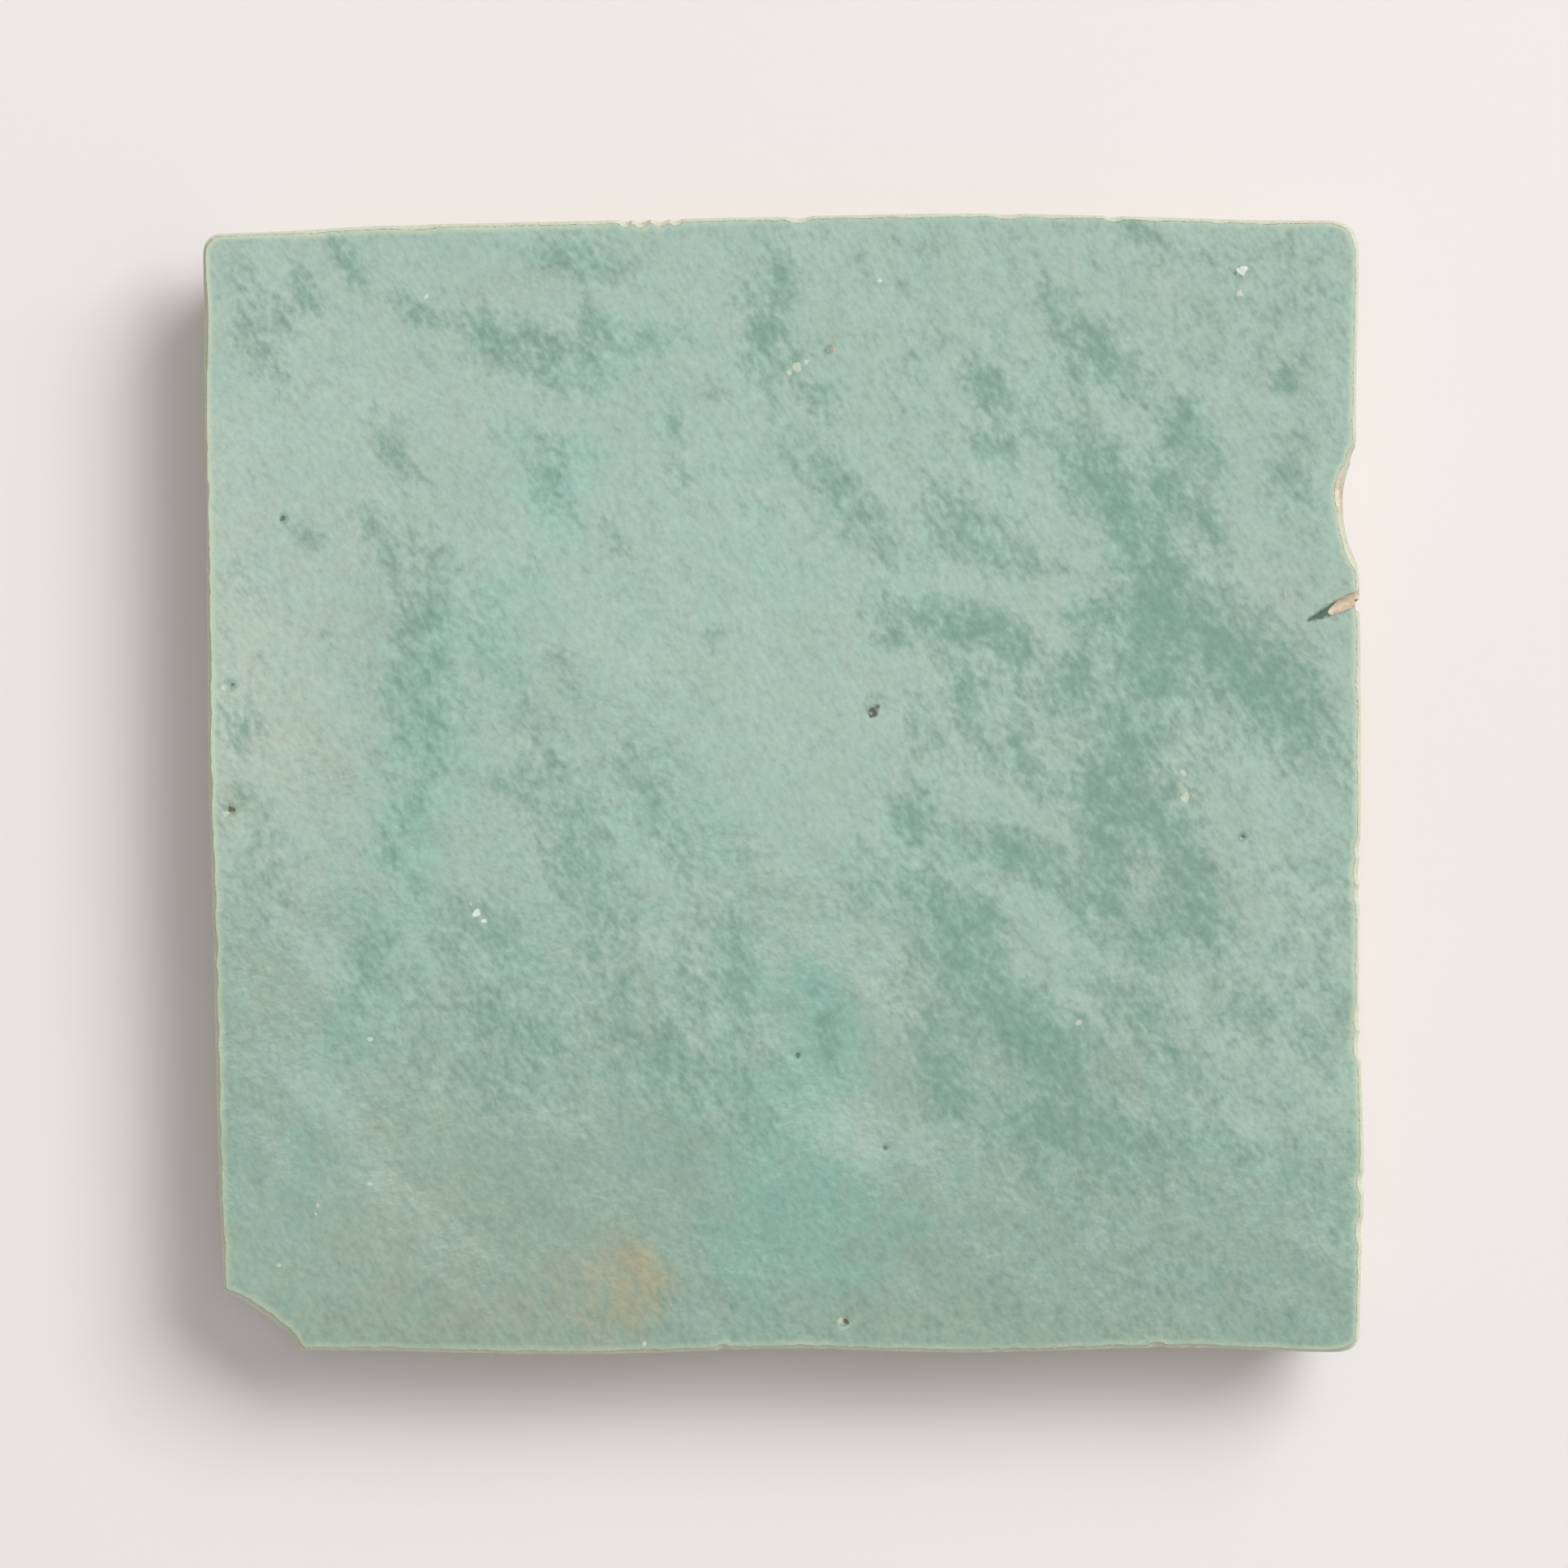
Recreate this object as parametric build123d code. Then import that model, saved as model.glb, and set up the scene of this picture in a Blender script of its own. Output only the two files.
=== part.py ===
from build123d import *
import math
import os

# A zellige tile: one square of fired clay with its glaze fused on, cut to shape by
# hand. It lies on its back with the glazed face up. Sizes are in millimetres. As
# someone looking down on the face sees it, +X is to the right and +Y is up. The
# origin is in the middle of the back, and the back is flat at Z = 0.

# The square that the chisel was meant to follow
tile_width = 101.7            # top left corner to top right corner
tile_height = 99.6            # bottom right corner to top right corner
thickness = 11.5              # back to the middle height of the waved face
top_left_drop = 1.15          # the top left corner lies lower than the top right
bottom_left_set_in = 2.0      # the bottom left corner lies in from the top left
bottom_left_rise = 0.2        # and higher than the bottom right
bottom_right_set_out = 0.1    # the bottom right corner lies out from the top right

# Each edge was cut by a row of blows with a broad chisel. This is how far the ridges
# between the blows stand out from a straight edge (in, where negative), at even
# steps from corner to corner, going round against the clock from the bottom left.
bottom_ridges = (0.05, 0.3, 0.2, -0.2, 0.1, -0.1, -0.35)
right_ridges = (0.4, 0.15, 0.05, 0.2, 0.15, -0.05, -0.2)
top_ridges = (0.35, 0.85, 1.05, 0.9, 0.8, 0.65, 0.45)
left_ridges = (0.2, 0.3, 0.35, 0.5, 0.35, 0.35, 0.25)

# How far from each corner its rounding starts
bottom_left_round = 1.6
bottom_right_round = 2.0
top_right_round = 2.8
top_left_round = 2.0

# The sides: an upright band under the face, then chiselled back to a smaller bed
band_depth = 2.6              # middle height of the face down to the foot of the band
band_lean = 0.35              # how far the foot of the band stands in from the rim
bottom_cut_back = 2.9         # how far the bed stands in from the rim, edge by edge
right_cut_back = 2.4
top_cut_back = 2.7
left_cut_back = 2.2
bed_round = 4.0               # rounding of the bed's corners
bed_hollow = 0.6              # how far a blow hollows the bed between two ridges
blow_slant = 1.8              # how far the ridges lean along the edge, rim to bed
blow_skew = 3.0               # and lean further for each mm that they stand out there

# How far the ridges wander at the bed, where nobody looks
bottom_bed_ridges = (0.5, 0.1, -0.6, 0.3, 0.6, -0.3, -0.5)
right_bed_ridges = (-0.2, 0.6, 0.2, -0.5, 0.1, 0.5, -0.4)
top_bed_ridges = (0.4, -0.4, 0.1, 0.7, -0.2, 0.3, -0.6)
left_bed_ridges = (-0.5, 0.2, 0.6, -0.1, -0.6, 0.4, 0.1)

# The face: shallow swells left where wet clay was smoothed by hand. Each runs along
# its heading, in degrees from +X, and starts at its own place in its rise and fall.
face_hollow = 0.35            # the middle of the face dips below its rim
long_swell_height = 0.16
long_swell_length = 64.0
long_swell_heading = 34.0
long_swell_start = 40.0
cross_swell_height = 0.10
cross_swell_length = 43.0
cross_swell_heading = 118.0
cross_swell_start = 200.0
short_swell_height = 0.045
short_swell_length = 24.0
short_swell_heading = 28.0
short_swell_start = 95.0
face_samples = 13             # points each way through which the face is drawn

arris_chip = 0.35             # width of bare clay where the arris broke away

# The bottom left corner, knocked off by a stray blow that left a scooped break
break_up_left_edge = 7.0      # from the corner to where the break meets the left edge
break_along_bottom = 4.4      # from the corner to where it meets the bottom edge
break_hollow = 0.6            # depth of the scoop behind its chord, on the face
break_centre_depth = 6.0      # the scoop is deepest this far under the face

# A shell-shaped notch in the right edge, struck from the face
notch_height_up = 74.4        # from the bottom right corner up to its middle
notch_length = 13.0           # along the edge
notch_depth = 2.1             # into the face
notch_rise = 3.2              # its centre lies this far above the face

# A cleft under the notch, where a sliver split away along a crack
cleft_height_up = 66.0        # from the bottom right corner up to its mouth
cleft_length = 4.9            # in from the edge
cleft_mouth = 0.75            # half width at the edge
cleft_tip = 0.12              # half width at the inner end
cleft_heading = 205.0         # from the edge inwards, in degrees from +X
cleft_run_out = 1.5           # how far the cut runs past the edge


def corners(bottom, right, top, left):
    """The four corners of the square, moved in from its sides by the given amounts."""
    half_width = tile_width / 2
    half_height = tile_height / 2
    return [
        Vector(-half_width + bottom_left_set_in + left, -half_height + bottom_left_rise + bottom),
        Vector(half_width + bottom_right_set_out - right, -half_height + bottom),
        Vector(half_width - right, half_height - top),
        Vector(-half_width + left, half_height - top_left_drop - top),
    ]


def smooth_run(row, along):
    """A line that wanders smoothly through the ridges, in one length for each blow."""
    line = Spline(*row, tangents=(along, along))
    return [line.trim(a, b) for a, b in zip(row, row[1:])]


def hollow_run(row, outwards):
    """One shallow hollow for each blow, with a ridge between two blows."""
    return [ThreePointArc(a, (a + b) / 2 - outwards * bed_hollow, b) for a, b in zip(row, row[1:])]


def chopped_outline(points, ridges, rounds, height, at_bed=False):
    """A square cut by rows of blows, smooth near the face and hollowed at the bed."""
    outline = []
    rows = []
    for place in range(len(points)):
        start = points[place]
        finish = points[(place + 1) % len(points)]
        along = (finish - start).normalized()
        outwards = Vector(along.Y, -along.X)
        first = start + along * rounds[place]
        last = finish - along * rounds[(place + 1) % len(points)]
        step = (last - first) / (len(ridges[place]) + 1)
        row = [first]
        for count, out in enumerate(ridges[place], start=1):
            lean = blow_slant + blow_skew * out if at_bed else 0
            row.append(first + step * count + along * lean + outwards * out)
        row.append(last)
        rows.append(row)
        outline += hollow_run(row, outwards) if at_bed else smooth_run(row, along)
    for place in range(len(points)):
        outline.append(Bezier(rows[place - 1][-1], points[place], rows[place][0]))
    return Pos(0, 0, height) * make_face(outline)


def swell(x, y, height, length, heading, start):
    """The height of one long wave over the face at a point."""
    run = x * math.cos(math.radians(heading)) + y * math.sin(math.radians(heading))
    return height * math.sin(2 * math.pi * run / length + math.radians(start))


def face_height(x, y):
    """The height of the glazed face above the back at a point."""
    across = (2 * x / tile_width) ** 2 / 2
    up = (2 * y / tile_height) ** 2 / 2
    dish = face_hollow * (across + up - 1 / 2)
    waves = swell(x, y, long_swell_height, long_swell_length, long_swell_heading, long_swell_start)
    waves += swell(x, y, cross_swell_height, cross_swell_length, cross_swell_heading, cross_swell_start)
    waves += swell(x, y, short_swell_height, short_swell_length, short_swell_heading, short_swell_start)
    return thickness + dish + waves


def waved_block():
    """Everything under the waved face, wider than the tile."""
    reach_x = tile_width / 2 + band_depth
    reach_y = tile_height / 2 + band_depth
    rows = []
    for j in range(face_samples):
        y = -reach_y + 2 * reach_y * j / (face_samples - 1)
        row = []
        for i in range(face_samples):
            x = -reach_x + 2 * reach_x * i / (face_samples - 1)
            row.append(Vector(x, y, face_height(x, y)))
        rows.append(row)
    face = Face.make_surface_from_array_of_points(rows)
    return extrude(face, amount=2 * thickness, dir=(0, 0, -1))


def chiselled_slab():
    """The slab with its upright band and its cut-back sides, before the face is waved."""
    rim_height = thickness + band_depth
    rim = corners(0, 0, 0, 0)
    foot = corners(band_lean, band_lean, band_lean, band_lean)
    bed = corners(bottom_cut_back, right_cut_back, top_cut_back, left_cut_back)
    ridges = [bottom_ridges, right_ridges, top_ridges, left_ridges]
    bed_ridges = [bottom_bed_ridges, right_bed_ridges, top_bed_ridges, left_bed_ridges]
    rounds = [bottom_left_round, bottom_right_round, top_right_round, top_left_round]
    sections = [
        chopped_outline(bed, bed_ridges, [bed_round] * 4, 0, at_bed=True),
        chopped_outline(foot, ridges, rounds, thickness - band_depth),
        chopped_outline(rim, ridges, rounds, rim_height),
    ]
    return loft(sections, ruled=True)


def corner_break():
    """The ball whose surface is the scooped break at the bottom left corner."""
    corner, bottom_right, _, top_left = corners(0, 0, 0, 0)
    upper = corner + (top_left - corner).normalized() * break_up_left_edge
    lower = corner + (bottom_right - corner).normalized() * break_along_bottom
    chord = (lower - upper).length
    outwards = (corner - (upper + lower) / 2).normalized()
    face_radius = (chord ** 2 / 4 + break_hollow ** 2) / (2 * break_hollow)
    ball_radius = math.hypot(face_radius, break_centre_depth)
    centre = (upper + lower) / 2 + outwards * (face_radius - break_hollow)
    return Pos(centre.X, centre.Y, thickness - break_centre_depth) * Sphere(ball_radius)


def edge_notch():
    """The ball whose surface is the shell-shaped notch in the right edge."""
    _, bottom_right, top_right, _ = corners(0, 0, 0, 0)
    up = (top_right - bottom_right).normalized()
    middle = bottom_right + up * notch_height_up
    outwards = Vector(up.Y, -up.X)
    face_radius = (notch_length ** 2 / 4 + notch_depth ** 2) / (2 * notch_depth)
    ball_radius = math.hypot(face_radius, notch_rise)
    centre = middle + outwards * (face_radius - notch_depth)
    return Pos(centre.X, centre.Y, thickness + notch_rise) * Sphere(ball_radius)


def edge_cleft():
    """A slim cone laid in the face, for the cleft that runs in from the right edge."""
    _, bottom_right, top_right, _ = corners(0, 0, 0, 0)
    up = (top_right - bottom_right).normalized()
    inwards = Vector(math.cos(math.radians(cleft_heading)), math.sin(math.radians(cleft_heading)))
    mouth = bottom_right + up * cleft_height_up - inwards * cleft_run_out
    widening = (cleft_mouth - cleft_tip) / cleft_length
    start = Plane(
        origin=(mouth.X, mouth.Y, face_height(mouth.X, mouth.Y)),
        z_dir=(inwards.X, inwards.Y, 0),
    )
    cone = Cone(
        cleft_mouth + widening * cleft_run_out,
        cleft_tip,
        cleft_length + cleft_run_out,
        align=(Align.CENTER, Align.CENTER, Align.MIN),
    )
    return start * cone


tile = chiselled_slab() & waved_block()
rim_edges = tile.edges().filter_by(lambda edge: edge.center().Z > thickness - band_depth / 4)
tile = chamfer(rim_edges, arris_chip)
tile = tile - corner_break() - edge_notch() - edge_cleft()

os.makedirs("parts", exist_ok=True)
export_step(tile, "parts/zellige_tile.step")
print("solids", len(tile.solids()), "volume", round(tile.volume, 1), "valid", tile.is_valid)
print("box", tile.bounding_box())
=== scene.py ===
# %% [markdown]
# A zellige tile is a square of fired clay with a glaze fused to one face. The maker
# cuts it to shape with a heavy chisel after the firing, so the glaze ends in a broken
# line and the four sides are bare, chopped clay. This lesson dresses the plain solid
# from the CAD file: the solid gives the outline, and we give it the skin of the real
# thing. The first cell loads the solid and keeps its box.

# %% Load the frame
import math
import random

import bmesh
import bpy
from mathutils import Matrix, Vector, noise
from mathutils.bvhtree import BVHTree
from mathutils.geometry import intersect_line_line_2d


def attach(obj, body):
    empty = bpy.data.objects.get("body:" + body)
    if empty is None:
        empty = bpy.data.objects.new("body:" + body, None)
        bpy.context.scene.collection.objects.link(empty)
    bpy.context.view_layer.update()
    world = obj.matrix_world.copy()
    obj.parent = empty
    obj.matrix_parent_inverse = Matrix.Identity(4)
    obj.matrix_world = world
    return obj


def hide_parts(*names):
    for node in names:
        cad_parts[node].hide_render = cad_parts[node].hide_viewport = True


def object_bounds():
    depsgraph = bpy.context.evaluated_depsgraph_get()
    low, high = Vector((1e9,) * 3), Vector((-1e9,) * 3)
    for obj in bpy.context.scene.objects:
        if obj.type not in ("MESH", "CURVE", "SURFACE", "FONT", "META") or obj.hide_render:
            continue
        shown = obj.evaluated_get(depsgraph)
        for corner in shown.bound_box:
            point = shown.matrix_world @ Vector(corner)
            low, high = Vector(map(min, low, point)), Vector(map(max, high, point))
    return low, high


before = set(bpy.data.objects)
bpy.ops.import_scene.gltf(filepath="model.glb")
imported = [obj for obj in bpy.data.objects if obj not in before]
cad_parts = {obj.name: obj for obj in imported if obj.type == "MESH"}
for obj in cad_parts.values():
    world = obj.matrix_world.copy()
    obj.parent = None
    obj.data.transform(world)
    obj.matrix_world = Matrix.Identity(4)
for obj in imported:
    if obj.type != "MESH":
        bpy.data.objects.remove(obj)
cad_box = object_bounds()
MM = 0.001                    # one millimetre in Blender's metres
print("CAD box in mm:", [[round(v / MM, 2) for v in corner] for corner in cad_box])

# %% [markdown]
# The photograph looks straight down on the tiles from far away, so the edges show no
# perspective. A long lens at about a metre does the same for one tile. The camera's
# own rotation of zero already looks down with +Y at the top of the picture.

# %% Camera
face_middle = 11.5            # height of the glazed face above the floor, mm
view_width = 137.4            # width of the picture at the face, mm
lens = 250.0
sensor = 36.0
camera_height = view_width * lens / sensor
camera_over = (0.3, 0.2)      # the camera stands over this point of the face, mm
camera_data = bpy.data.cameras.new("Long_lens")
camera_data.lens = lens
camera_data.sensor_width = sensor
camera_data.clip_start = 0.05
camera_data.clip_end = 20
camera = bpy.data.objects.new("Camera_above", camera_data)
camera.location = [part * MM for part in (*camera_over, face_middle + camera_height)]
bpy.context.scene.collection.objects.link(camera)
bpy.context.scene.camera = camera
print("camera", round(camera_height), "mm above the face")

# %% [markdown]
# Colours are written the way a colour picker shows them, as sRGB hex. Blender's nodes
# and lights expect linear values, so one function turns the one into the other. The
# view transform is Standard, so that a colour comes out as it was measured.

# %% Colours
bpy.context.scene.view_settings.view_transform = "Standard"


def linear(colour):
    """An sRGB hex colour as the four linear numbers that a node takes."""
    parts = [int(colour[place:place + 2], 16) / 255 for place in (1, 3, 5)]
    parts = [part / 12.92 if part <= 0.04045 else ((part + 0.055) / 1.055) ** 2.4 for part in parts]
    return (*parts, 1.0)


print("a mid green:", [round(part, 3) for part in linear("#91A999")])

# %% [markdown]
# A glossy face shows the lamps as much as its own colour. A soft box hangs above the
# tile and the glaze mirrors it as a pale veil. We place it by its mirror image: a point
# on the face sees the point of the lamp's plane that lies further out by the ratio of
# the two heights. The veil's lower limit slants, so the box is turned a little.
# A second, larger lamp from the upper right lights the clay and the ground, and a dim
# sky fills the shadows.

# %% Lamps
soft_box_height = 1900.0      # above the face, mm
veil_centre = Vector((6.0, 35.5))     # middle of the soft box's image on the face, mm
veil_half = Vector((96.0, 55.0))      # half its size, mm
veil_turn = math.radians(-13)
veil_radiance = 2.75          # white paper in this light is 1
key_side = 1.5                # the key lamp is a square this wide, m
key_radiance = 6.3
key_place = (1.25, 1.05, 1.75)
sky_strength = 0.42
image_scale = 1 + soft_box_height / camera_height


def rectangular_lamp(name, width, height, radiance, place, aim=None, turn=0.0):
    """A rectangular lamp of a given size and radiance, in metres, aimed at a point."""
    data = bpy.data.lights.new(name, "AREA")
    data.shape = "RECTANGLE"
    data.size = width
    data.size_y = height
    data.energy = radiance * math.pi * width * height
    lamp = bpy.data.objects.new(name, data)
    lamp.location = place
    lamp.rotation_euler = (0, 0, turn)
    if aim is not None:
        lamp.rotation_euler = (Vector(aim) - Vector(place)).to_track_quat("-Z", "Y").to_euler()
    lamp.visible_camera = False
    bpy.context.scene.collection.objects.link(lamp)
    return lamp


soft_box = rectangular_lamp(
    "Soft_box_above",
    2 * veil_half.x * image_scale * MM,
    2 * veil_half.y * image_scale * MM,
    veil_radiance,
    (
        veil_centre.x * image_scale * MM,
        veil_centre.y * image_scale * MM,
        (face_middle + soft_box_height) * MM,
    ),
    turn=veil_turn,
)
key_lamp = rectangular_lamp(
    "Large_key_upper_right", key_side, key_side, key_radiance, key_place, aim=(0, 0, 0)
)
world = bpy.data.worlds.new("Dim_studio")
world.use_nodes = True
world.node_tree.nodes["Background"].inputs["Color"].default_value = linear("#F4F6FA")
world.node_tree.nodes["Background"].inputs["Strength"].default_value = sky_strength
bpy.context.scene.world = world
print("soft box", round(soft_box.data.size, 3), "by", round(soft_box.data.size_y, 3), "m")

# %% [markdown]
# The floor is a sheet of pale paper. It runs out flat and then curves up like a bowl,
# so that a view from near the ground also has a plain, pale background. We start from
# a disc and pull its edge outwards ring by ring.

# %% Paper floor
# Each ring of the paper: its radius and height in metres
floor_profile = [(0.5, 0), (1.2, 0), (2, 0), (2.6, 0.06), (3, 0.25), (3.2, 0.6), (3.3, 1.2)]
floor_gap = 0.02              # the paper lies this far under the back, mm
floor_mesh = bmesh.new()
bmesh.ops.create_circle(floor_mesh, cap_ends=True, segments=96, radius=0.15)
for radius, height in floor_profile:
    ring_edges = [edge for edge in floor_mesh.edges if edge.is_boundary]
    pulled = bmesh.ops.extrude_edge_only(floor_mesh, edges=ring_edges)["geom"]
    for vert in pulled:
        if isinstance(vert, bmesh.types.BMVert):
            vert.co = Vector((vert.co.x, vert.co.y, 0)).normalized() * radius
            vert.co.z = height
bmesh.ops.translate(floor_mesh, verts=floor_mesh.verts, vec=(0, 0, -floor_gap * MM))
bmesh.ops.recalc_face_normals(floor_mesh, faces=floor_mesh.faces)
for polygon in floor_mesh.faces:
    polygon.smooth = True
paper_data = bpy.data.meshes.new("Paper_floor")
floor_mesh.to_mesh(paper_data)
floor_mesh.free()
paper_floor = bpy.data.objects.new("Paper_floor", paper_data)
bpy.context.scene.collection.objects.link(paper_floor)
print("floor faces:", len(paper_data.polygons))

# %% [markdown]
# Materials are trees of nodes. One small helper adds a node, sets its properties and
# fills its inputs. A node shows only the sockets that its properties leave open, so
# the values are given in the order of those, or by name where only a few are set. A
# value that is another node's output is linked, and a hex colour is made linear.

# %% Node helper
def add(tree, kind, inputs=(), output=None, **settings):
    """Add a node, set its properties, link or fill its inputs, and return an output."""
    node = tree.nodes.new("ShaderNode" + kind)
    for name, value in settings.items():
        setattr(node, name, value)
    open_inputs = [socket for socket in node.inputs if socket.enabled]
    by_name = isinstance(inputs, dict)
    for key, value in inputs.items() if by_name else enumerate(inputs):
        socket = node.inputs[key] if by_name else open_inputs[key]
        if isinstance(value, bpy.types.NodeSocket):
            tree.links.new(value, socket)
        else:
            socket.default_value = linear(value) if isinstance(value, str) else value
    if output is not None:
        return node.outputs[output]
    return next(socket for socket in node.outputs if socket.enabled)


def new_material(name):
    """A material with an empty tree but for its shader and output."""
    material = bpy.data.materials.new(name)
    material.use_nodes = True
    return material, material.node_tree, material.node_tree.nodes["Principled BSDF"]


# Matt, seamless paper: no gloss to speak of, so it shows only soft shade, and its tint
# drifts a little in clouds as wide as a sheet
paper_cloud = 400             # size of a cloud, mm
paper, tree, shader = new_material("Matt_seamless_paper")
place = add(tree, "TexCoord", output="Object")
cell = add(tree, "Mapping", {"Vector": place, "Scale": (paper_cloud * MM,) * 3}, vector_type="TEXTURE")
clouds = add(tree, "TexNoise", {"Vector": cell, "Scale": 1.0, "Detail": 3.0})
tint = add(tree, "Mix", (clouds, "#F0ECE9", "#F3EFEC"), data_type="RGBA")
tree.links.new(tint, shader.inputs["Base Color"])
shader.inputs["Roughness"].default_value = 0.9
shader.inputs["Specular IOR Level"].default_value = 0.2
paper_floor.data.materials.append(paper)
print("floor material:", paper.name)

# %% [markdown]
# The outline of our mesh has to be the outline of the solid. A tree of the solid's
# triangles lets us shoot rays at it. We walk once round a square in 1440 steps, and
# from each step a level ray runs from inside the tile to its side. Along the straight
# sides the rays are parallel, and near the corners they fan out.

# %% Rays round the tile
solid = bmesh.new()
solid.from_mesh(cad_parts["zellige_tile"].data)
bmesh.ops.remove_doubles(solid, verts=solid.verts, dist=1e-7)
solid_tree = BVHTree.FromBMesh(solid)
solid.free()

side_steps = 360
columns = 4 * side_steps
fan_reach = 38.0              # the fans start this far from the middle, mm
square_half = 50              # half the side of the square that the rays run through, mm
rim_height = 10.75            # the rim is measured at this height, mm


def square_place(column):
    """Where a step of the walk lies on a square from -1 to 1."""
    side, step = divmod(column % columns, side_steps)
    run = -1 + 2 * step / side_steps
    return ((run, -1.0), (1.0, run), (-run, 1.0), (-1.0, -run))[side]


rays = []
for column in range(columns):
    far = Vector(square_place(column)) * square_half
    near = Vector([max(-fan_reach, min(fan_reach, part)) for part in far])
    rays.append((near, (far - near).normalized()))


def side_point(column, height):
    """Where a column's ray leaves the solid at a height above the back, in mm."""
    near, along = rays[column]
    start = Vector((near.x, near.y, max(height, 0.01))) * MM
    hit = solid_tree.ray_cast(start, Vector((along.x, along.y, 0)))[0]
    return Vector((hit.x, hit.y)) / MM


rim = [side_point(column, rim_height) for column in range(columns)]
walked = [0.0]
for column in range(1, columns + 1):
    walked.append(walked[-1] + (rim[column % columns] - rim[column - 1]).length)
print("the rim is", round(walked[-1], 1), "mm long")

# %% [markdown]
# The glazed face is nearly flat. It dips a little in the middle and has the broad, low
# swells of the solid. On top of them lie the ripples that make a zellige wall sparkle:
# shallow waves left by the hand that smoothed the wet clay. Where a ripple leans far
# enough, the glaze no longer mirrors the soft box and shows its deeper colour. A noise
# would give ripples anywhere, and these have to lie where the photograph shows them. So
# each one gives its place and size, and its slope is worked out from how far the soft
# box's image has to be pushed aside. Below the veil a few tongues do the opposite: they
# pull its lower edge down over the green.

# %% The shape of the glazed face
tile_width = 101.7            # these three are the solid's own, in mm
tile_height = 99.6
face_hollow = 0.35
# Each swell: height and length in mm, heading and start in degrees
swells = [(0.045, 64.0, 34.0, 40.0), (0.03, 43.0, 118.0, 200.0), (0.012, 24.0, 28.0, 95.0)]
mirror_reach = 2000 / (1000 / soft_box_height + 1000 / camera_height)   # mm for each radian
veil_edge_blur = 7.0          # how much further a ripple pushes the image than its edge, mm
veil_gain = 0.25              # the share of that push that a ripple of strength 1 gives


def way_below(heading):
    """A level direction, turned some degrees below +X."""
    return Vector((math.cos(math.radians(heading)), -math.sin(math.radians(heading))))


def turned(vector, turn):
    """A level vector, turned against the clock."""
    return Vector((
        vector.x * math.cos(turn) - vector.y * math.sin(turn),
        vector.x * math.sin(turn) + vector.y * math.cos(turn),
    ))


def broad_height(x, y):
    """The dish and the low swells of the face, as a height in mm."""
    height = face_middle + face_hollow * (2 * (x / tile_width) ** 2 + 2 * (y / tile_height) ** 2 - 0.5)
    for rise, length, heading, start in swells:
        run = x * math.cos(math.radians(heading)) + y * math.sin(math.radians(heading))
        height += rise * math.sin(2 * math.pi * run / length + math.radians(start))
    return height


def veil_push(x, y):
    """The shortest push, in mm, that takes the mirrored point out of the soft box."""
    step = 0.5
    slope_x = (broad_height(x + step, y) - broad_height(x - step, y)) / (2 * step)
    slope_y = (broad_height(x, y + step) - broad_height(x, y - step)) / (2 * step)
    seen = Vector((x - slope_x * mirror_reach, y - slope_y * mirror_reach)) - veil_centre
    level = turned(seen, -veil_turn)
    ways = [
        (veil_half.x - level.x, Vector((1, 0))),
        (veil_half.x + level.x, Vector((-1, 0))),
        (veil_half.y - level.y, Vector((0, 1))),
        (veil_half.y + level.y, Vector((0, -1))),
    ]
    far, way = min(ways, key=lambda pair: pair[0])
    return turned(way, veil_turn) * (far + veil_edge_blur)


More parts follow.
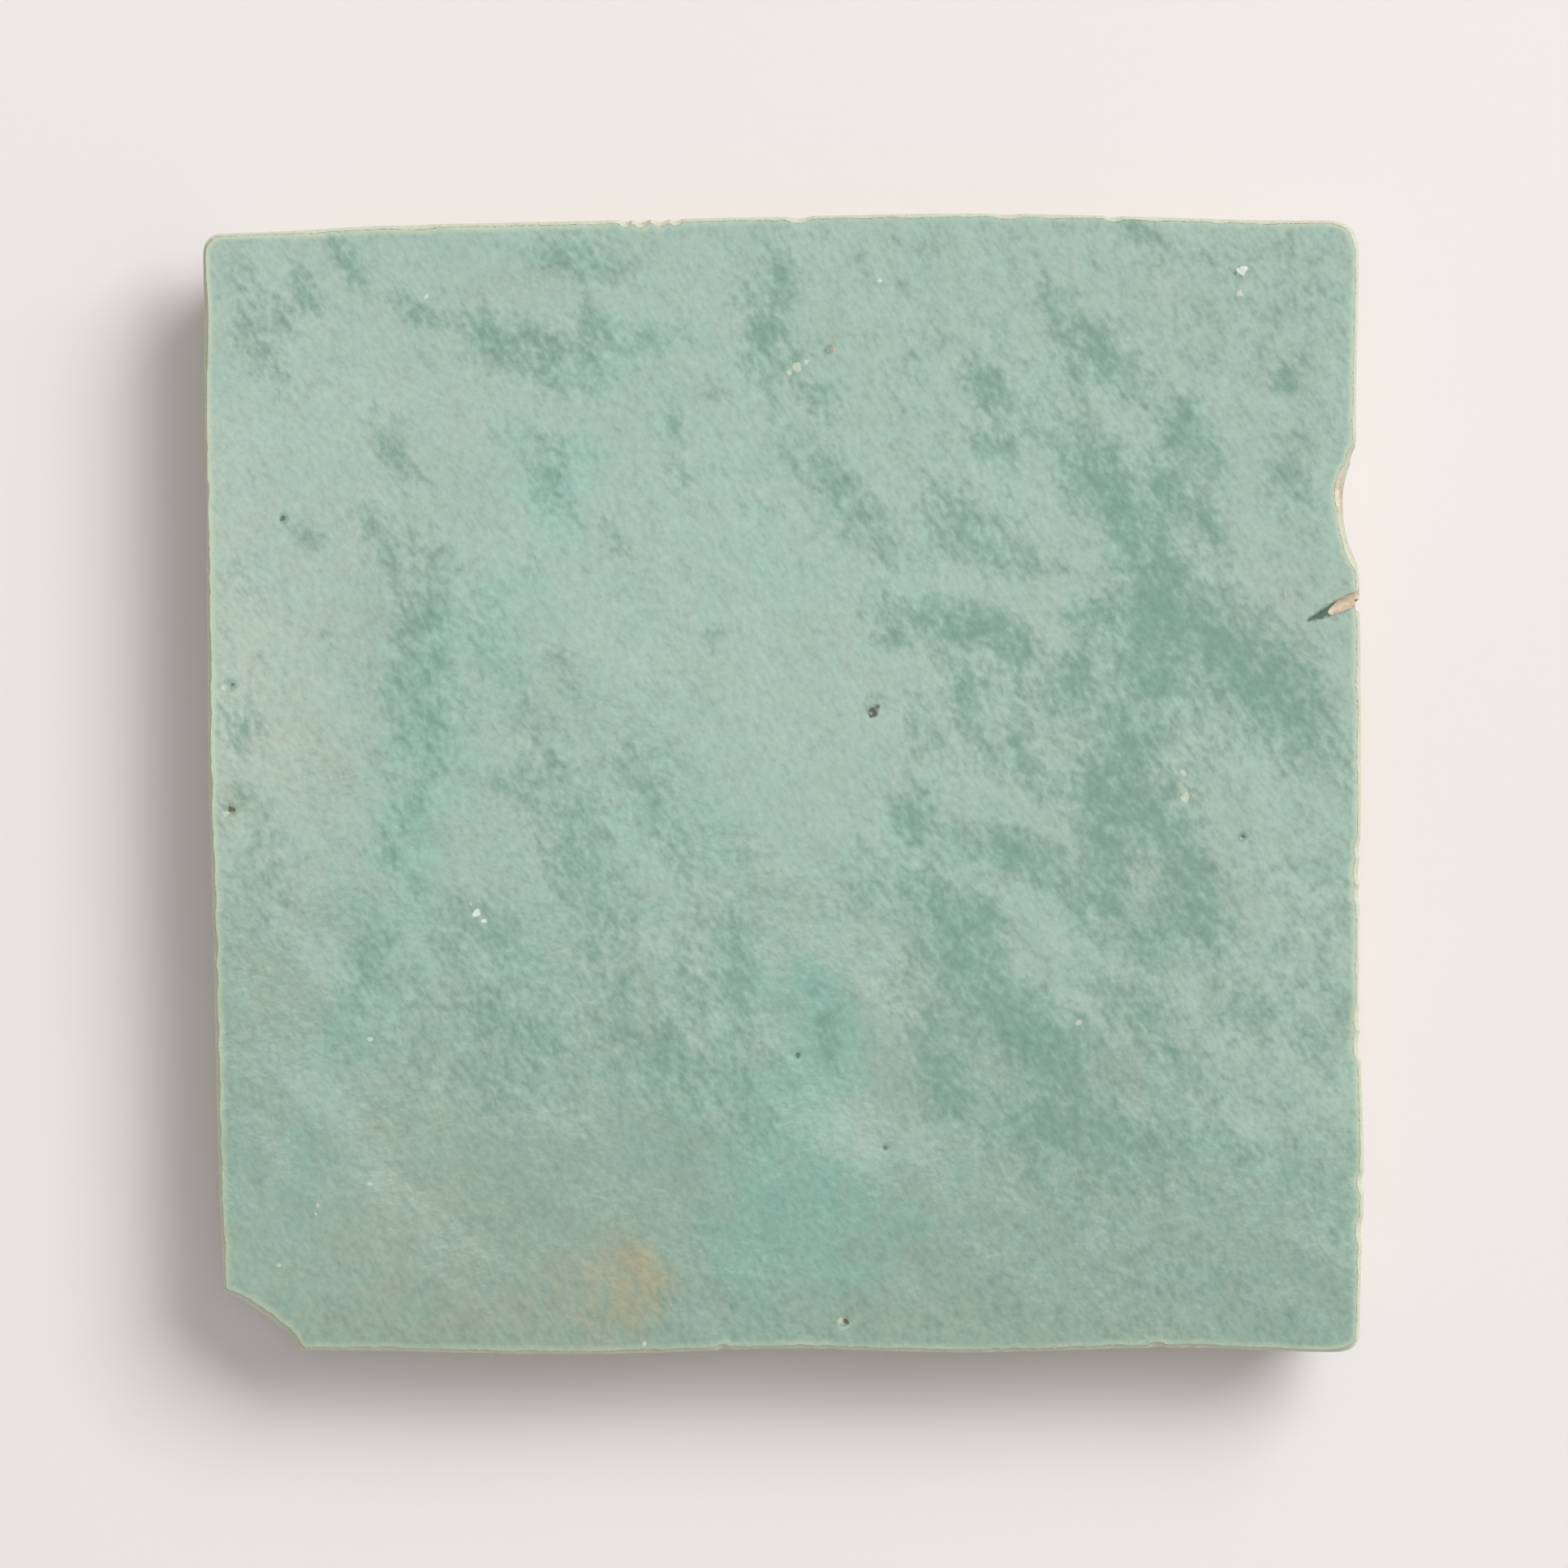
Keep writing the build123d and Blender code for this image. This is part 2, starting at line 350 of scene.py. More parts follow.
# Each ripple: x, y, length, width in mm, degrees below +X, strength. One with a
# negative strength is a place that stays glossy amid others.
ripple_list = [
    # along the top
    (-46.8, 44.1, 4, 2, 60, 0.6), (-41.9, 43.4, 4.2, 1.6, 60, 0.9), (-38, 45.9, 5, 2, 65, 0.9),
    (-45.7, 37.8, 5.6, 2.4, 55, 0.7), (-44, 40.6, 3, 1.6, 60, 0.7), (-32, 41.7, 4.6, 2.4, 45, 0.5),
    (-18, 46.2, 7.7, 3.9, 10, 0.8), (-21, 45.6, 4, 2.5, 20, 0.2), (-22.2, 38.7, 12.7, 4, 20, 0.8),
    (-26, 40, 4, 3, 60, 0.6), (-16.6, 40.6, 4.2, 2.8, 60, 0.8), (-12.3, 39.2, 5, 2.4, 0, 0.6),
    (-20.8, 35.9, 10, 2.2, 10, 0.1), (0, 44.5, 5, 2.5, 85, 0.8), (-1.4, 39.2, 6.3, 3.4, 80, 1),
    (2.8, 34.3, 4.6, 2.6, 50, 0.6), (-6.4, 35, 2.4, 1.6, 60, 0.5), (-9.1, 31.5, 3, 1.2, 80, 1.1),
    (-8.8, 27.2, 2.4, 1.6, 60, 0.9), (18.2, 35, 4.8, 2.3, 50, 1.3), (18.9, 29.4, 3.6, 2.2, 20, 0.7),
    (23.5, 42.7, 3.5, 1.6, 60, 0.8), (27.7, 38.2, 7.5, 3.5, 45, 1.1), (30.9, 49, 3, 1.6, 30, 1.2),
    (35.1, 31.5, 5.4, 3.2, 50, 1.1), (44.6, 35.3, 2.6, 1.9, 40, 1.1), (44.3, 27.3, 5, 2.4, 90, 0.8),
    # left and middle
    (-33.8, 29, 5.2, 2.4, 60, 0.8), (-20.4, 26.8, 6, 3.6, 80, 0.7), (-20.4, 31, 4, 1.6, 70, 0.3),
    (-24.3, 30.8, 3, 1.2, 30, 0.3), (-41.5, 22, 4.4, 1.8, 45, 0.5), (-35.9, 23, 4.2, 2.2, 60, 0.5),
    (-14.5, 21.6, 2.8, 1.4, 50, 1), (-22.5, 20.2, 3, 2, 60, 0.3), (-31.9, 17, 10, 5, 75, 0.4),
    (-31.3, 14.2, 5.5, 4.2, 60, 0.5), (-25.7, 14.6, 7.5, 2.2, 85, 0.5), (-19.7, 11.4, 4, 2, 60, 0.4),
    (-18.3, 9, 4, 1.2, 80, 0.1), (-22.5, 7.2, 4.4, 1.6, 90, 0.5), (-31, 5.5, 10, 5.2, 80, 0.8),
    (-32, 0.3, 6.5, 4, 110, 0.4), (-36.6, 0.5, 4, 3, 60, 0.2), (-33.8, -5.1, 5, 3, 100, 0.5),
    (-47.2, 4.8, 4, 3, 60, 0.7), (-47.5, -1.6, 4, 3, 80, 0.4), (-6, 13.2, 3, 1.3, 0, 0.8),
    (-12, -0.2, 9.5, 3.2, 65, 0.7), (-24.3, -0.2, 4.4, 2.2, 10, 0.5), (-21.5, 3.3, 4.5, 3, 70, 0.4),
    (-18.4, -3.4, 14, 5.4, 65, 0.5), (-18.7, -8.4, 9, 4.5, 65, 0.5), (-15.2, -12, 7, 4.4, 60, 0.2),
    (-8.8, -5.4, 5.4, 3, 60, 0.5), (-6.7, -11.4, 4.4, 2.6, 60, 0.4), (-28.2, -11.6, 4.6, 3.4, 60, 0.7),
    (-24.3, -13.9, 5, 3, 60, 0.8), (-31.7, -9.3, 3.4, 2, 60, 0.5), (-35.9, -14.4, 8, 3.6, 100, 0.5),
    (-38, -19.4, 7, 4.4, 100, 0.4), (-3.9, -11.4, 8, 2.6, 85, 0.4), (-3.6, -16.4, 8, 3, 85, 0.8),
    (-13, -19.6, 10, 6, 60, 0.6), (-25, -20.6, 14, 7, 20, 0.7), (-46, -13, 9, 6, 90, 0.4),
    # right
    (4.9, 25.9, 11, 3, 48, 0.8), (8, 20.9, 4, 2, 50, 0.6), (14.4, 24.4, 5, 4, 60, 0.7),
    (17.9, 21.6, 8.4, 3, 20, 0.6), (21, 19.9, 4.4, 2.2, 30, 0.5), (27.7, 27.4, 8, 4.2, 60, 1.3),
    (33.7, 25.9, 6, 4.4, 60, 0.8), (37.6, 22.3, 4.8, 2.3, 70, 1.2), (31.6, 20.9, 8.6, 3, 65, 0.9),
    (9.8, 14.6, 4.4, 3.2, 30, 0.7), (15.1, 14.2, 6.4, 3.2, 10, 1), (20, 12.8, 4.6, 3, 40, 1.2),
    (27, 15, 4.6, 2.2, 0, 0.8), (32.3, 16, 9, 5, 90, 1.1), (38.3, 12.5, 13, 6.4, 40, 1.3),
    (42.8, 8.8, 8, 5.4, 45, 0.9), (46.2, 4.6, 8, 4.4, 50, 0.7), (25.3, 9.3, 4.8, 3, 110, 1.2),
    (32, 9.7, 6, 5, 80, 1.2), (16.1, 9, 4.4, 3, 60, 0.9), (20.7, 4, 8, 2.2, 75, 0.7),
    (8.4, 6.9, 2.2, 1.3, 60, 0.3), (13, 4.8, 5, 3, 50, 0.5), (29.1, -0.9, 9.4, 5.8, 30, 1.3),
    (30.6, 4, 6.4, 5, 80, 0.9), (35.5, -7.9, 10, 5, 75, 1.2), (36.2, -11.6, 5.4, 4, 60, 1),
    (28.4, -10.7, 5.4, 3.4, 60, 1.1), (28.4, -5.8, 5.4, 4, 60, 0.9), (11.2, -2.3, 6.2, 3.5, 75, 0.7),
    (20, -5.8, 8.4, 3, 25, 1.2), (24.6, -8.6, 4.6, 3, 45, 0.6), (17.9, -12.1, 4.4, 3, 60, 1.1),
    (13.7, -10, 9.4, 5, 60, 0.7), (7.3, -9.3, 4.6, 3, 60, 0.6), (3.8, -21.1, 5.6, 3.4, 80, 0.8),
    (12.3, -20, 10, 4.6, 75, 0.55), (13.7, -25, 7, 4.4, 60, 1), (20.7, -21.3, 14, 5, 45, 1.2),
    (25.2, -24.4, 8, 5.4, 45, 0.85), (16.5, -15.6, 6.4, 3.5, 50, 0.8), (31.3, -20.6, 7.4, 5, 50, 0.8),
    (39.7, -19.2, 6.2, 3.6, 60, 0.6), (32.7, -14.2, 3.4, 3, 60, 0.9), (36.2, -25.5, 5, 3, 40, 0.8),
    (41, 42, 16, 12, 0, 0.3), (32, -41, 30, 12, 0, 0.2), (36, 8, 70, 34, 90, 0.15),
    (25, -31, 16, 6, 20, 1), (-8, -26, 10, 7, 30, 0.7),
    # fainter ones between them
    (-22, -26, 9, 5, 10, 0.5), (-7.5, -17, 5, 3, 75, 0.6), (-4, -23, 7, 2.6, 80, 0.5),
    (-3, -28.5, 6, 3, 80, 0.6), (-46, -5.5, 6, 4, 70, 0.4), (-35, 20, 5, 3, 90, 0.4),
    (-30.5, 20, 4, 2, 60, 0.5), (-35, 8, 4, 2.6, 80, 0.5), (-46, 18, 6, 4, 60, 0.2),
    (-17.5, -1, 4, 2.4, 60, 0.5), (21, 10, 6, 2.6, 60, 0.6), (17, 5, 4, 3, 60, 0.6),
    (10, 12.5, 5, 2, 20, 0.6), (25.5, 36, 3.5, 2, 60, 0.6), (27, 13, 4, 2, 30, 0.4),
    (27, 5, 4, 2.4, 60, 0.5), (38, 27, 4, 2, 60, 0.6), (37, 3, 5, 3.5, 60, 0.5),
    (32.5, -4, 4, 2.4, 60, 0.5), (36, -31, 12, 3, 15, 0.5), (27, -38, 6, 3, 30, 0.3),
    (-8, -46, 7, 4, 0, 0.3), (20, -42, 10, 5, 10, 0.2), (12, 40, 18, 10, 0, 0.12),
    (19.5, 1.5, 5, 2.4, 20, 0.5), (46.5, -20, 32, 8, 90, 0.35), (47, 32, 26, 7, 90, 0.22),
    (18, -47, 60, 6, 0, 0.35), (15, 47, 44, 5, 0, 0.15), (-32, -23, 6, 4, 60, 0.4),
    (-26, -27, 5, 3, 30, 0.3), (-15, -17, 5, 3, 60, 0.3), (18, 29, 5, 2.4, 60, 0.3),
    (10, -23, 7, 3, 80, -0.6), (-28.5, -2, 10, 3, 90, -0.8), (-35, 3, 4, 3, 0, -0.5),
    (36.5, -13.5, 5, 3.4, 90, -0.9), (15, -5, 3.6, 3.6, 0, -0.4), (26, -7.5, 3, 3, 0, -0.5),
    (27, -24, 4.6, 3.6, 0, -0.8), (-25, 43, 9, 2.8, 0, -0.8), (38, -6, 5, 2.4, 80, -0.4),
    (33.5, -23, 5, 2.4, 80, -0.4), (-40, 0, 8, 3.4, 80, -0.7), (45, 8, 7, 2, 60, -0.4),
    (31, 25.5, 6, 2.4, 80, -0.3), (-14, 6, 6, 3, 60, -0.3), (18, -26, 3, 3, 0, -0.4),
    (-2, -42, 9, 7, 0, 0.3), (26.5, 25.5, 4, 3, 60, 0.5), (-45, 42, 9, 6, 0, 0.2),
    (-20, 35.5, 8, 2.5, 10, 0.3), (20, 33, 8, 5, 0, 0.3), (17, 19.5, 5, 3, 20, 0.3),
    (14, 2, 5, 3, 30, 0.3), (-28, -16, 4, 3, 0, 0.3), (-16, -21, 4, 3, 0, 0.3), (-9.5, -17, 4, 4, 0, 0.3),
    (-30, -27, 5, 3, 0, 0.3), (22, -36, 6, 4, 30, 0.3), (-2, -31, 4, 3, 80, 0.4),
    (8, 33, 34, 20, 0, 0.12), (35, -42, 8, 5, 0, 0.3), (-20.5, -12, 4, 3, 60, -0.3),
    (-43, -17, 7, 3, 45, -0.6), (20, -16.5, 5, 2.4, 50, -0.3),
]
# Each tongue: x, y, length, width in mm, degrees below +X, pull on the veil's edge in mm
tongue_list = [
    (5, -30.5, 5.5, 3.6, 70, 13), (10.5, -30, 6, 3, 60, 12), (9, -35, 5, 3, 60, 10),
    (0.5, -21, 6, 3, 80, 6),
]
# The photograph's middle of the face and the solid's origin lie this far apart, in mm
shift = Vector((0.10, 0.15))
# A ripple's reach as a share of its length and of its width, and what is added to the
# first where the push runs along it, or to the second where it runs across
long_share = 0.55
long_gain = 0.35
wide_share = 0.75
wide_gain = 0.45
tongue_strength = -0.8        # the glaze of a tongue stays glossy
ripples = []
for x, y, length, width, heading, strength in ripple_list:
    middle = Vector((x, y)) + shift
    axis = way_below(heading)
    push = veil_push(middle.x, middle.y)
    slope = -push / mirror_reach * strength * veil_gain
    lean = abs(push.normalized().dot(axis))
    long_reach = length * (long_share + long_gain * lean ** 2)
    wide_reach = width * (wide_share + wide_gain * (1 - lean ** 2))
    ripples.append((middle, axis, slope, long_reach, wide_reach, length / 2, width / 2, strength))
for x, y, length, width, heading, pull in tongue_list:
    middle = Vector((x, y)) + shift
    axis = way_below(heading)
    slope = Vector((0, -pull / mirror_reach))
    half_sizes = (length / 2, width / 2)
    ripples.append((middle, axis, slope, length, width, *half_sizes, tongue_strength))

steepest = max(ripple[2].length for ripple in ripples)
print(len(ripples), "ripples, the steepest leans", round(math.degrees(steepest), 2), "degrees")

# %% [markdown]
# Every corner of the mesh will ask for the height of almost two hundred ripples, and
# most of them lie far away from it. So the face is sorted into squares, and each square
# keeps a list of the few ripples that reach it. That makes the script twice as quick.

# %% Heights of the ripples
square = 8.0                  # side of the squares, mm
died_out = 14.0               # a ripple ends this many squared reaches from its middle
ripples_of_square = {}


def ripples_near(x, y):
    """The ripples that reach into the square of the face that a point lies in."""
    place = (round(x / square), round(y / square))
    if place not in ripples_of_square:
        centre = Vector(place) * square
        ripples_of_square[place] = [
            ripple for ripple in ripples
            if (ripple[0] - centre).length < math.sqrt(died_out) * max(ripple[3], ripple[4]) + square
        ]
    return ripples_of_square[place]


def ripple_height(x, y):
    """How far the ripples lift or lower the glaze at a point, in mm."""
    height = 0.0
    for middle, axis, slope, long_reach, wide_reach, *rest in ripples_near(x, y):
        right = x - middle.x
        up = y - middle.y
        along = right * axis.x + up * axis.y
        across = right * axis.y - up * axis.x
        far = (along / long_reach) ** 2 + (across / wide_reach) ** 2
        if far < died_out:
            height += (slope.x * right + slope.y * up) * math.exp(-far / 2)
    return height


def satin_share(x, y):
    """How satin the glaze is, and how much shade is painted, at a point: 1 in the heart of a ripple, 0.5
    at its edge.
    """
    glossy = 1.0
    for ripple in ripples_near(x, y):
        middle, axis, slope, long_reach, wide_reach, half_length, half_width, strength = ripple
        right = x - middle.x
        up = y - middle.y
        along = (right * axis.x + up * axis.y) / half_length
        across = (right * axis.y - up * axis.x) / half_width
        far = math.hypot(along, across)
        if far < 2:
            glossy *= 1 - (1 - far / 2) * min(1.0, strength)
    return max(0.0, 1 - glossy)


print("ripples lift the middle by", round(ripple_height(0, 0), 3), "mm")

# %% [markdown]
# Small accidents are sunk into the face: pits where a bubble burst, a soft dimple, and
# a cleft where a sliver split off at the right edge. A pit is a short bell curve turned
# downwards. The cleft is a groove that widens and deepens towards the edge.

# %% Pits and the cleft
# Each pit: x, y, radius, depth in mm
pit_list = [
    (40.1, 44.9, 0.34, 0.07), (4.1, 38.1, 0.32, 0.06), (8, 6.4, 0.34, 0.13), (1.4, -23.7, 0.28, 0.10),
    (40.4, -4.6, 0.26, 0.10), (9.1, -31.8, 0.22, 0.07), (-43.7, 23.3, 0.28, 0.08),
    (44.3, 35.4, 1.10, 0.05), (-48.4, 8.6, 0.42, 0.09), (-48.3, -2.3, 0.38, 0.13), (5.5, -47, 0.36, 0.12),
    (-26.5, -11.4, 0.60, 0.04), (1.4, 36.7, 0.60, 0.04),
]
pits = [(Vector((x, y)) + shift, radius, depth) for x, y, radius, depth in pit_list]
cleft_tip = Vector((46.2, 14.4)) + shift
cleft_mouth = Vector((50.9, 16.55)) + shift
cleft_line = cleft_mouth - cleft_tip
cleft_length = cleft_line.length
cleft_way = cleft_line.normalized()
cleft_tip_half = 0.06         # half its width at the tip, mm
cleft_widening = 0.50         # what its mouth has over that, mm
cleft_tip_depth = 0.30
cleft_deepening = 0.35
cleft_lip = 0.03              # its slope starts this far outside its width, mm


def cleft_place(x, y):
    """How far along the cleft a point lies (0 tip, 1 mouth), and how far beside it in mm."""
    right = x - cleft_tip.x
    up = y - cleft_tip.y
    along = right * cleft_way.x + up * cleft_way.y
    across = -right * cleft_way.y + up * cleft_way.x
    return along / cleft_length, across


def cleft_half(run):
    """Half the cleft's width in mm at a place along it."""
    run = max(0.0, min(1.0, run))
    return cleft_tip_half + cleft_widening * min(1.0, run / 0.6) ** 0.8


def cleft_depth(x, y):
    """How deep the cleft is at a point, in mm."""
    run, across = cleft_place(x, y)
    if run < -0.02 or run > 1.4:
        return 0.0
    share = 1 - (across / (cleft_half(run) + cleft_lip)) ** 2
    if share <= 0:
        return 0.0
    return (cleft_tip_depth + cleft_deepening * min(run, 1.0)) * share ** 0.8


# The hand's finest waves: height, length, width in mm, seed
hand_waves = [(0.045, 13, 8, 3.0), (0.018, 6, 3.2, 8.0)]
hand_way = way_below(55)
pit_steepness = 1.2           # how fast the bell of a pit runs out
pit_end = 9                   # it has run out this many squared radii from its middle


def glaze_height(x, y):
    """The height of the glazed face above the back at a point, in mm."""
    height = broad_height(x, y) + ripple_height(x, y)
    along = x * hand_way.x + y * hand_way.y
    across = x * hand_way.y - y * hand_way.x
    for rise, length, width, seed in hand_waves:
        height += rise * noise.noise(Vector((along / length, across / width, seed)))
    for middle, radius, depth in pits:
        far = ((x - middle.x) ** 2 + (y - middle.y) ** 2) / radius ** 2
        if far < pit_end:
            height -= depth * math.exp(-far * pit_steepness)
    return height - cleft_depth(x, y)


print("face heights:", [round(glaze_height(x, y), 2) for x, y in ((-48, 46), (0, 0), (48, -46))])

# %% [markdown]
# The chisel never breaks the glaze in a clean line. It crumbles back from the arris by
# a fraction of a millimetre, with a bigger flake here and there, and pale clay shows.
# A table of flakes gives how wide that bare strip is at each step round the rim: many
# small ones at random from a fixed seed, and the larger ones that the photograph shows.

# %% Flakes along the arris
random.seed(41)
small_flakes = 130
flakes = []
# Each flake: middle along the rim, half length and depth in mm
for count in range(small_flakes):
    half = random.uniform(0.3, 1.3)
    middle = random.uniform(0, walked[-1])
    depth = random.uniform(0.02, 0.12) * (0.6 + half / 2)
    flakes.append((middle, half, depth))
# Each named flake: x, y on the rim, half length, depth in mm
named_flakes = [
    (50.6, -5.6, 1, 0.30), (50.6, -7.6, 1.2, 0.34), (50.6, -9.6, 0.9, 0.28), (50.6, -20.5, 1.2, 0.26),
    (50.6, -23, 1.4, 0.36), (50.6, -34.9, 1, 0.34), (50.6, -39, 1.3, 0.36), (49.3, 26.2, 1.9, 0.30),
    (50.6, 9, 1.2, 0.14), (-13.6, 49.5, 0.6, 0.40), (-12.2, 49.5, 0.7, 0.46), (-10.6, 49.5, 0.7, 0.40),
    (-9.2, 49.5, 0.6, 0.34), (1.5, 49.5, 1.1, 0.34), (-32, 49.5, 2, 0.16), (20, 49.5, 1.4, 0.22),
    (29, 49.5, 0.8, 0.26), (-5, -49.8, 0.6, 0.30), (-44, -49.5, 1.5, 0.20), (33, -49.8, 0.8, 0.24),
    (-51, 40, 4, 0.14),
]
for x, y, half, depth in named_flakes:
    target = Vector((x, y)) + shift
    nearest = min(range(columns), key=lambda column: (rim[column] - target).length)
    flakes.append((walked[nearest], half, depth))
strip_width = 0.26            # the bare strip where nothing flaked, mm
narrowest_strip = 0.08
# How the strip wanders: by how much, over what length in mm, seed
strip_waves = [(0.05, 4.0, 5.0), (0.03, 0.9, 9.0)]


def bare_width(column):
    """How wide the strip of bare clay is at a column, in mm."""
    place_on_rim = walked[column]
    width = strip_width
    for rise, length, seed in strip_waves:
        width += rise * noise.noise(Vector((place_on_rim / length, 0.0, seed)))
    deepest = 0.0
    for middle, half, depth in flakes:
        far = abs(place_on_rim - middle)
        far = min(far, walked[-1] - far)
        if far < half:
            deepest = max(deepest, depth * (1 - (far / half) ** 2) ** 0.7)
    return max(narrowest_strip, width + deepest)


bare = [bare_width(column) for column in range(columns)]
print("bare strip:", round(min(bare), 2), "to", round(max(bare), 2), "mm wide")

# %% [markdown]
# The top starts as a flat grid. Its border is laid 2.6 mm inside the outline, and the
# inner lines are blended between the four borders. At the broken corner the outline has
# no corner for the grid, so there the border keeps inside two straight lines that meet
# squarely, and the grid stays free of folds. Rounds of smoothing then even it out.

# %% The glazed face as a grid
grid_steps = 180
margin = 2.6                  # from the outline in to the grid's border, mm
face_rounds = 60              # rounds of smoothing
square_corner = Vector((-44.6, -44.8))
square_sides = [Vector((-12.0, -46.9)), Vector((-47.5, -12.0))]


def inset_point(column, inset):
    """A point on a column's ray, a distance in from the outline, in mm."""
    return rim[column % columns] - rays[column % columns][1] * inset


def border_point(column):
    """Where the grid's border crosses a column's ray, in mm."""
    near, along = rays[column % columns]
    spot = inset_point(column, margin)
    for end in square_sides:
        crossing = intersect_line_line_2d(near, near + along * 20, square_corner, end)
        if crossing is not None and (crossing - near).length < (spot - near).length:
            spot = crossing
    return spot


grid_border = [border_point(column) for column in range(columns)]
border_depth = [(rim[column] - grid_border[column]).length for column in range(columns)]


def blended_point(u, v, ring):
    """A place on the unit square, mapped to the inside of a closed ring of points."""
    right = round((u + 1) / 2 * side_steps)
    up = round((v + 1) / 2 * side_steps)
    across = right / side_steps
    rise = up / side_steps
    blend = ring[right] * (1 - rise) + ring[3 * side_steps - right] * rise
    blend += ring[-up] * (1 - across) + ring[side_steps + up] * across
    blend -= (ring[0] * (1 - across) + ring[side_steps] * across) * (1 - rise)
    blend -= (ring[3 * side_steps] * (1 - across) + ring[2 * side_steps] * across) * rise
    return blend


def turned_over(mesh):
    """How many faces look down although they should look up, or the other way round."""
    mesh.normal_update()
    up = sum(face.normal.z > 0 for face in mesh.faces)
    return min(up, len(mesh.faces) - up)


def even_out(mesh, verts, rounds):
    """Smooth some corners within the level plane."""
    for count in range(rounds):
        bmesh.ops.smooth_vert(mesh, verts=verts, factor=0.5, use_axis_x=True, use_axis_y=True)


tile = bmesh.new()
column_of = tile.verts.layers.int.new("column")
reach_of = tile.verts.layers.float.new("glaze_reach")
bmesh.ops.create_grid(tile, x_segments=grid_steps, y_segments=grid_steps, size=1.0)
for vert in tile.verts:
    spot = blended_point(vert.co.x, vert.co.y, grid_border)
    vert.co = Vector((spot.x, spot.y, 0))
    vert[reach_of] = margin
even_out(tile, [vert for vert in tile.verts if not vert.is_boundary], face_rounds)
print("grid:", len(tile.verts), "corners, folded faces:", turned_over(tile))

# %% [markdown]
# The border is split once, so that the arris gets a corner every 0.28 mm. Walking round
# the border gives each of its corners the number of its column. From here on, a ring is
# one extrude: the border is copied, and each copy goes where its column's ray says.

# %% Number the border
border = [edge for edge in tile.edges if edge.is_boundary]
bmesh.ops.subdivide_edges(tile, edges=border, cuts=1)
border = [edge for edge in tile.edges if edge.is_boundary]
border_verts = {vert for edge in border for vert in edge.verts}
here = min(border_verts, key=lambda vert: (vert.co.xy - grid_border[0]).length)
step_edges = [edge for edge in here.link_edges if edge.is_boundary]
step_edge = max(step_edges, key=lambda edge: edge.other_vert(here).co.x)
for column in range(columns):
    here[column_of] = column
    here = step_edge.other_vert(here)
    step_edge = [edge for edge in here.link_edges if edge.is_boundary and edge != step_edge][0]
loop_verts = [vert for vert in tile.verts if vert.is_boundary]
for vert in loop_verts:
    spot = grid_border[vert[column_of]]
    vert.co = Vector((spot.x, spot.y, 0))
    vert[reach_of] = border_depth[vert[column_of]] - bare[vert[column_of]]
print("border:", len(loop_verts), "corners for", columns, "columns")

# %% [markdown]
# Six rings carry the glaze to its broken line, closer and closer together so that the
# gloss stays true up to the edge. Then the face of each flake drops to the arris: first
# steeply through the glaze, which is a quarter of a millimetre thick, and then more
# gently through the clay. Rings keep every corner in its column, which a boolean cut
# wouldn't.

# %% The arris
glaze_thickness = 0.26
flake_fall = 0.75             # how far a flake drops for each mm of its width
cleft_room = 0.2              # the arris keeps this far under the cleft, mm
nick_from = 0.34              # wider flakes than this, mm, bite into the outline
nick_share = 0.55             # by this share of what they have over it
# Each ring on the glaze: its share of the way back from the broken line to the grid
glaze_rings = (0.72, 0.46, 0.25, 0.11, 0.03, 0.0)
# Each ring on the flake: its share of the way out to the arris, and of the way down
flake_rings = ((0.18, 0.42), (0.55, 0.70), (1.0, 1.0))


def next_ring(mesh, place_of):
    """Extrude the open border once, and set each new corner by its column."""
    edges = [edge for edge in mesh.edges if edge.is_boundary]
    made = bmesh.ops.extrude_edge_only(mesh, edges=edges)["geom"]
    for vert in made:
        if isinstance(vert, bmesh.types.BMVert):
            spot, reach = place_of(vert[column_of])
            vert.co = spot
            vert[reach_of] = reach


def drop_of(column):
    """How far under the face the arris lies at a column, in mm."""
    spot = rim[column]
    flake_drop = glaze_thickness + flake_fall * bare[column]
    return max(flake_drop, cleft_depth(spot.x, spot.y) + cleft_room)


def nick_of(column):
    """How far the biggest flakes bite into the outline itself, in mm."""
    return max(0.0, nick_share * (bare[column] - nick_from))


arris = []
for column in range(columns):
    inner = inset_point(column, bare[column])
    height = glaze_height(inner.x, inner.y) + cleft_depth(inner.x, inner.y) - drop_of(column)
    spot = side_point(column, height) - rays[column][1] * nick_of(column)
    arris.append(Vector((spot.x, spot.y, height)))


def glaze_ring(share):
    """A ring on the glaze, part of the way from the grid to the broken line."""
    def place_of(column):
        inset = bare[column] + (border_depth[column] - bare[column]) * share
        spot = inset_point(column, inset)
        return Vector((spot.x, spot.y, 0)), inset - bare[column]
    return place_of


def flake_ring(share, sink):
    """A ring on the flake, part of the way out to the arris and down to it."""
    def place_of(column):
        inner = inset_point(column, bare[column])
        outer = arris[column]
        spot = inner.lerp(outer.xy, share)
        top = glaze_height(inner.x, inner.y)
        height = top + (outer.z - top) * sink
        return Vector((spot.x, spot.y, height)), -bare[column] * share - 0.02
    return place_of


for share in glaze_rings:
    next_ring(tile, glaze_ring(share))
for vert in tile.verts:
    vert.co.z = glaze_height(vert.co.x, vert.co.y)
for share, sink in flake_rings:
    next_ring(tile, flake_ring(share, sink))
print("so far:", len(tile.faces), "faces")

# %% [markdown]
# Under the arris the clay is broken, not cut. Fired clay breaks in small shell-shaped
# facets with crumbs between them. Cells of a Voronoi pattern give that: each cell leans
# its own way, so neighbours meet in a ridge. Three sizes of cell lie over each other,
# and all of them only take clay away, so the tile stays inside its solid.

# %% Broken clay
mean_break = 0.34             # how far the clay is broken back on average, mm
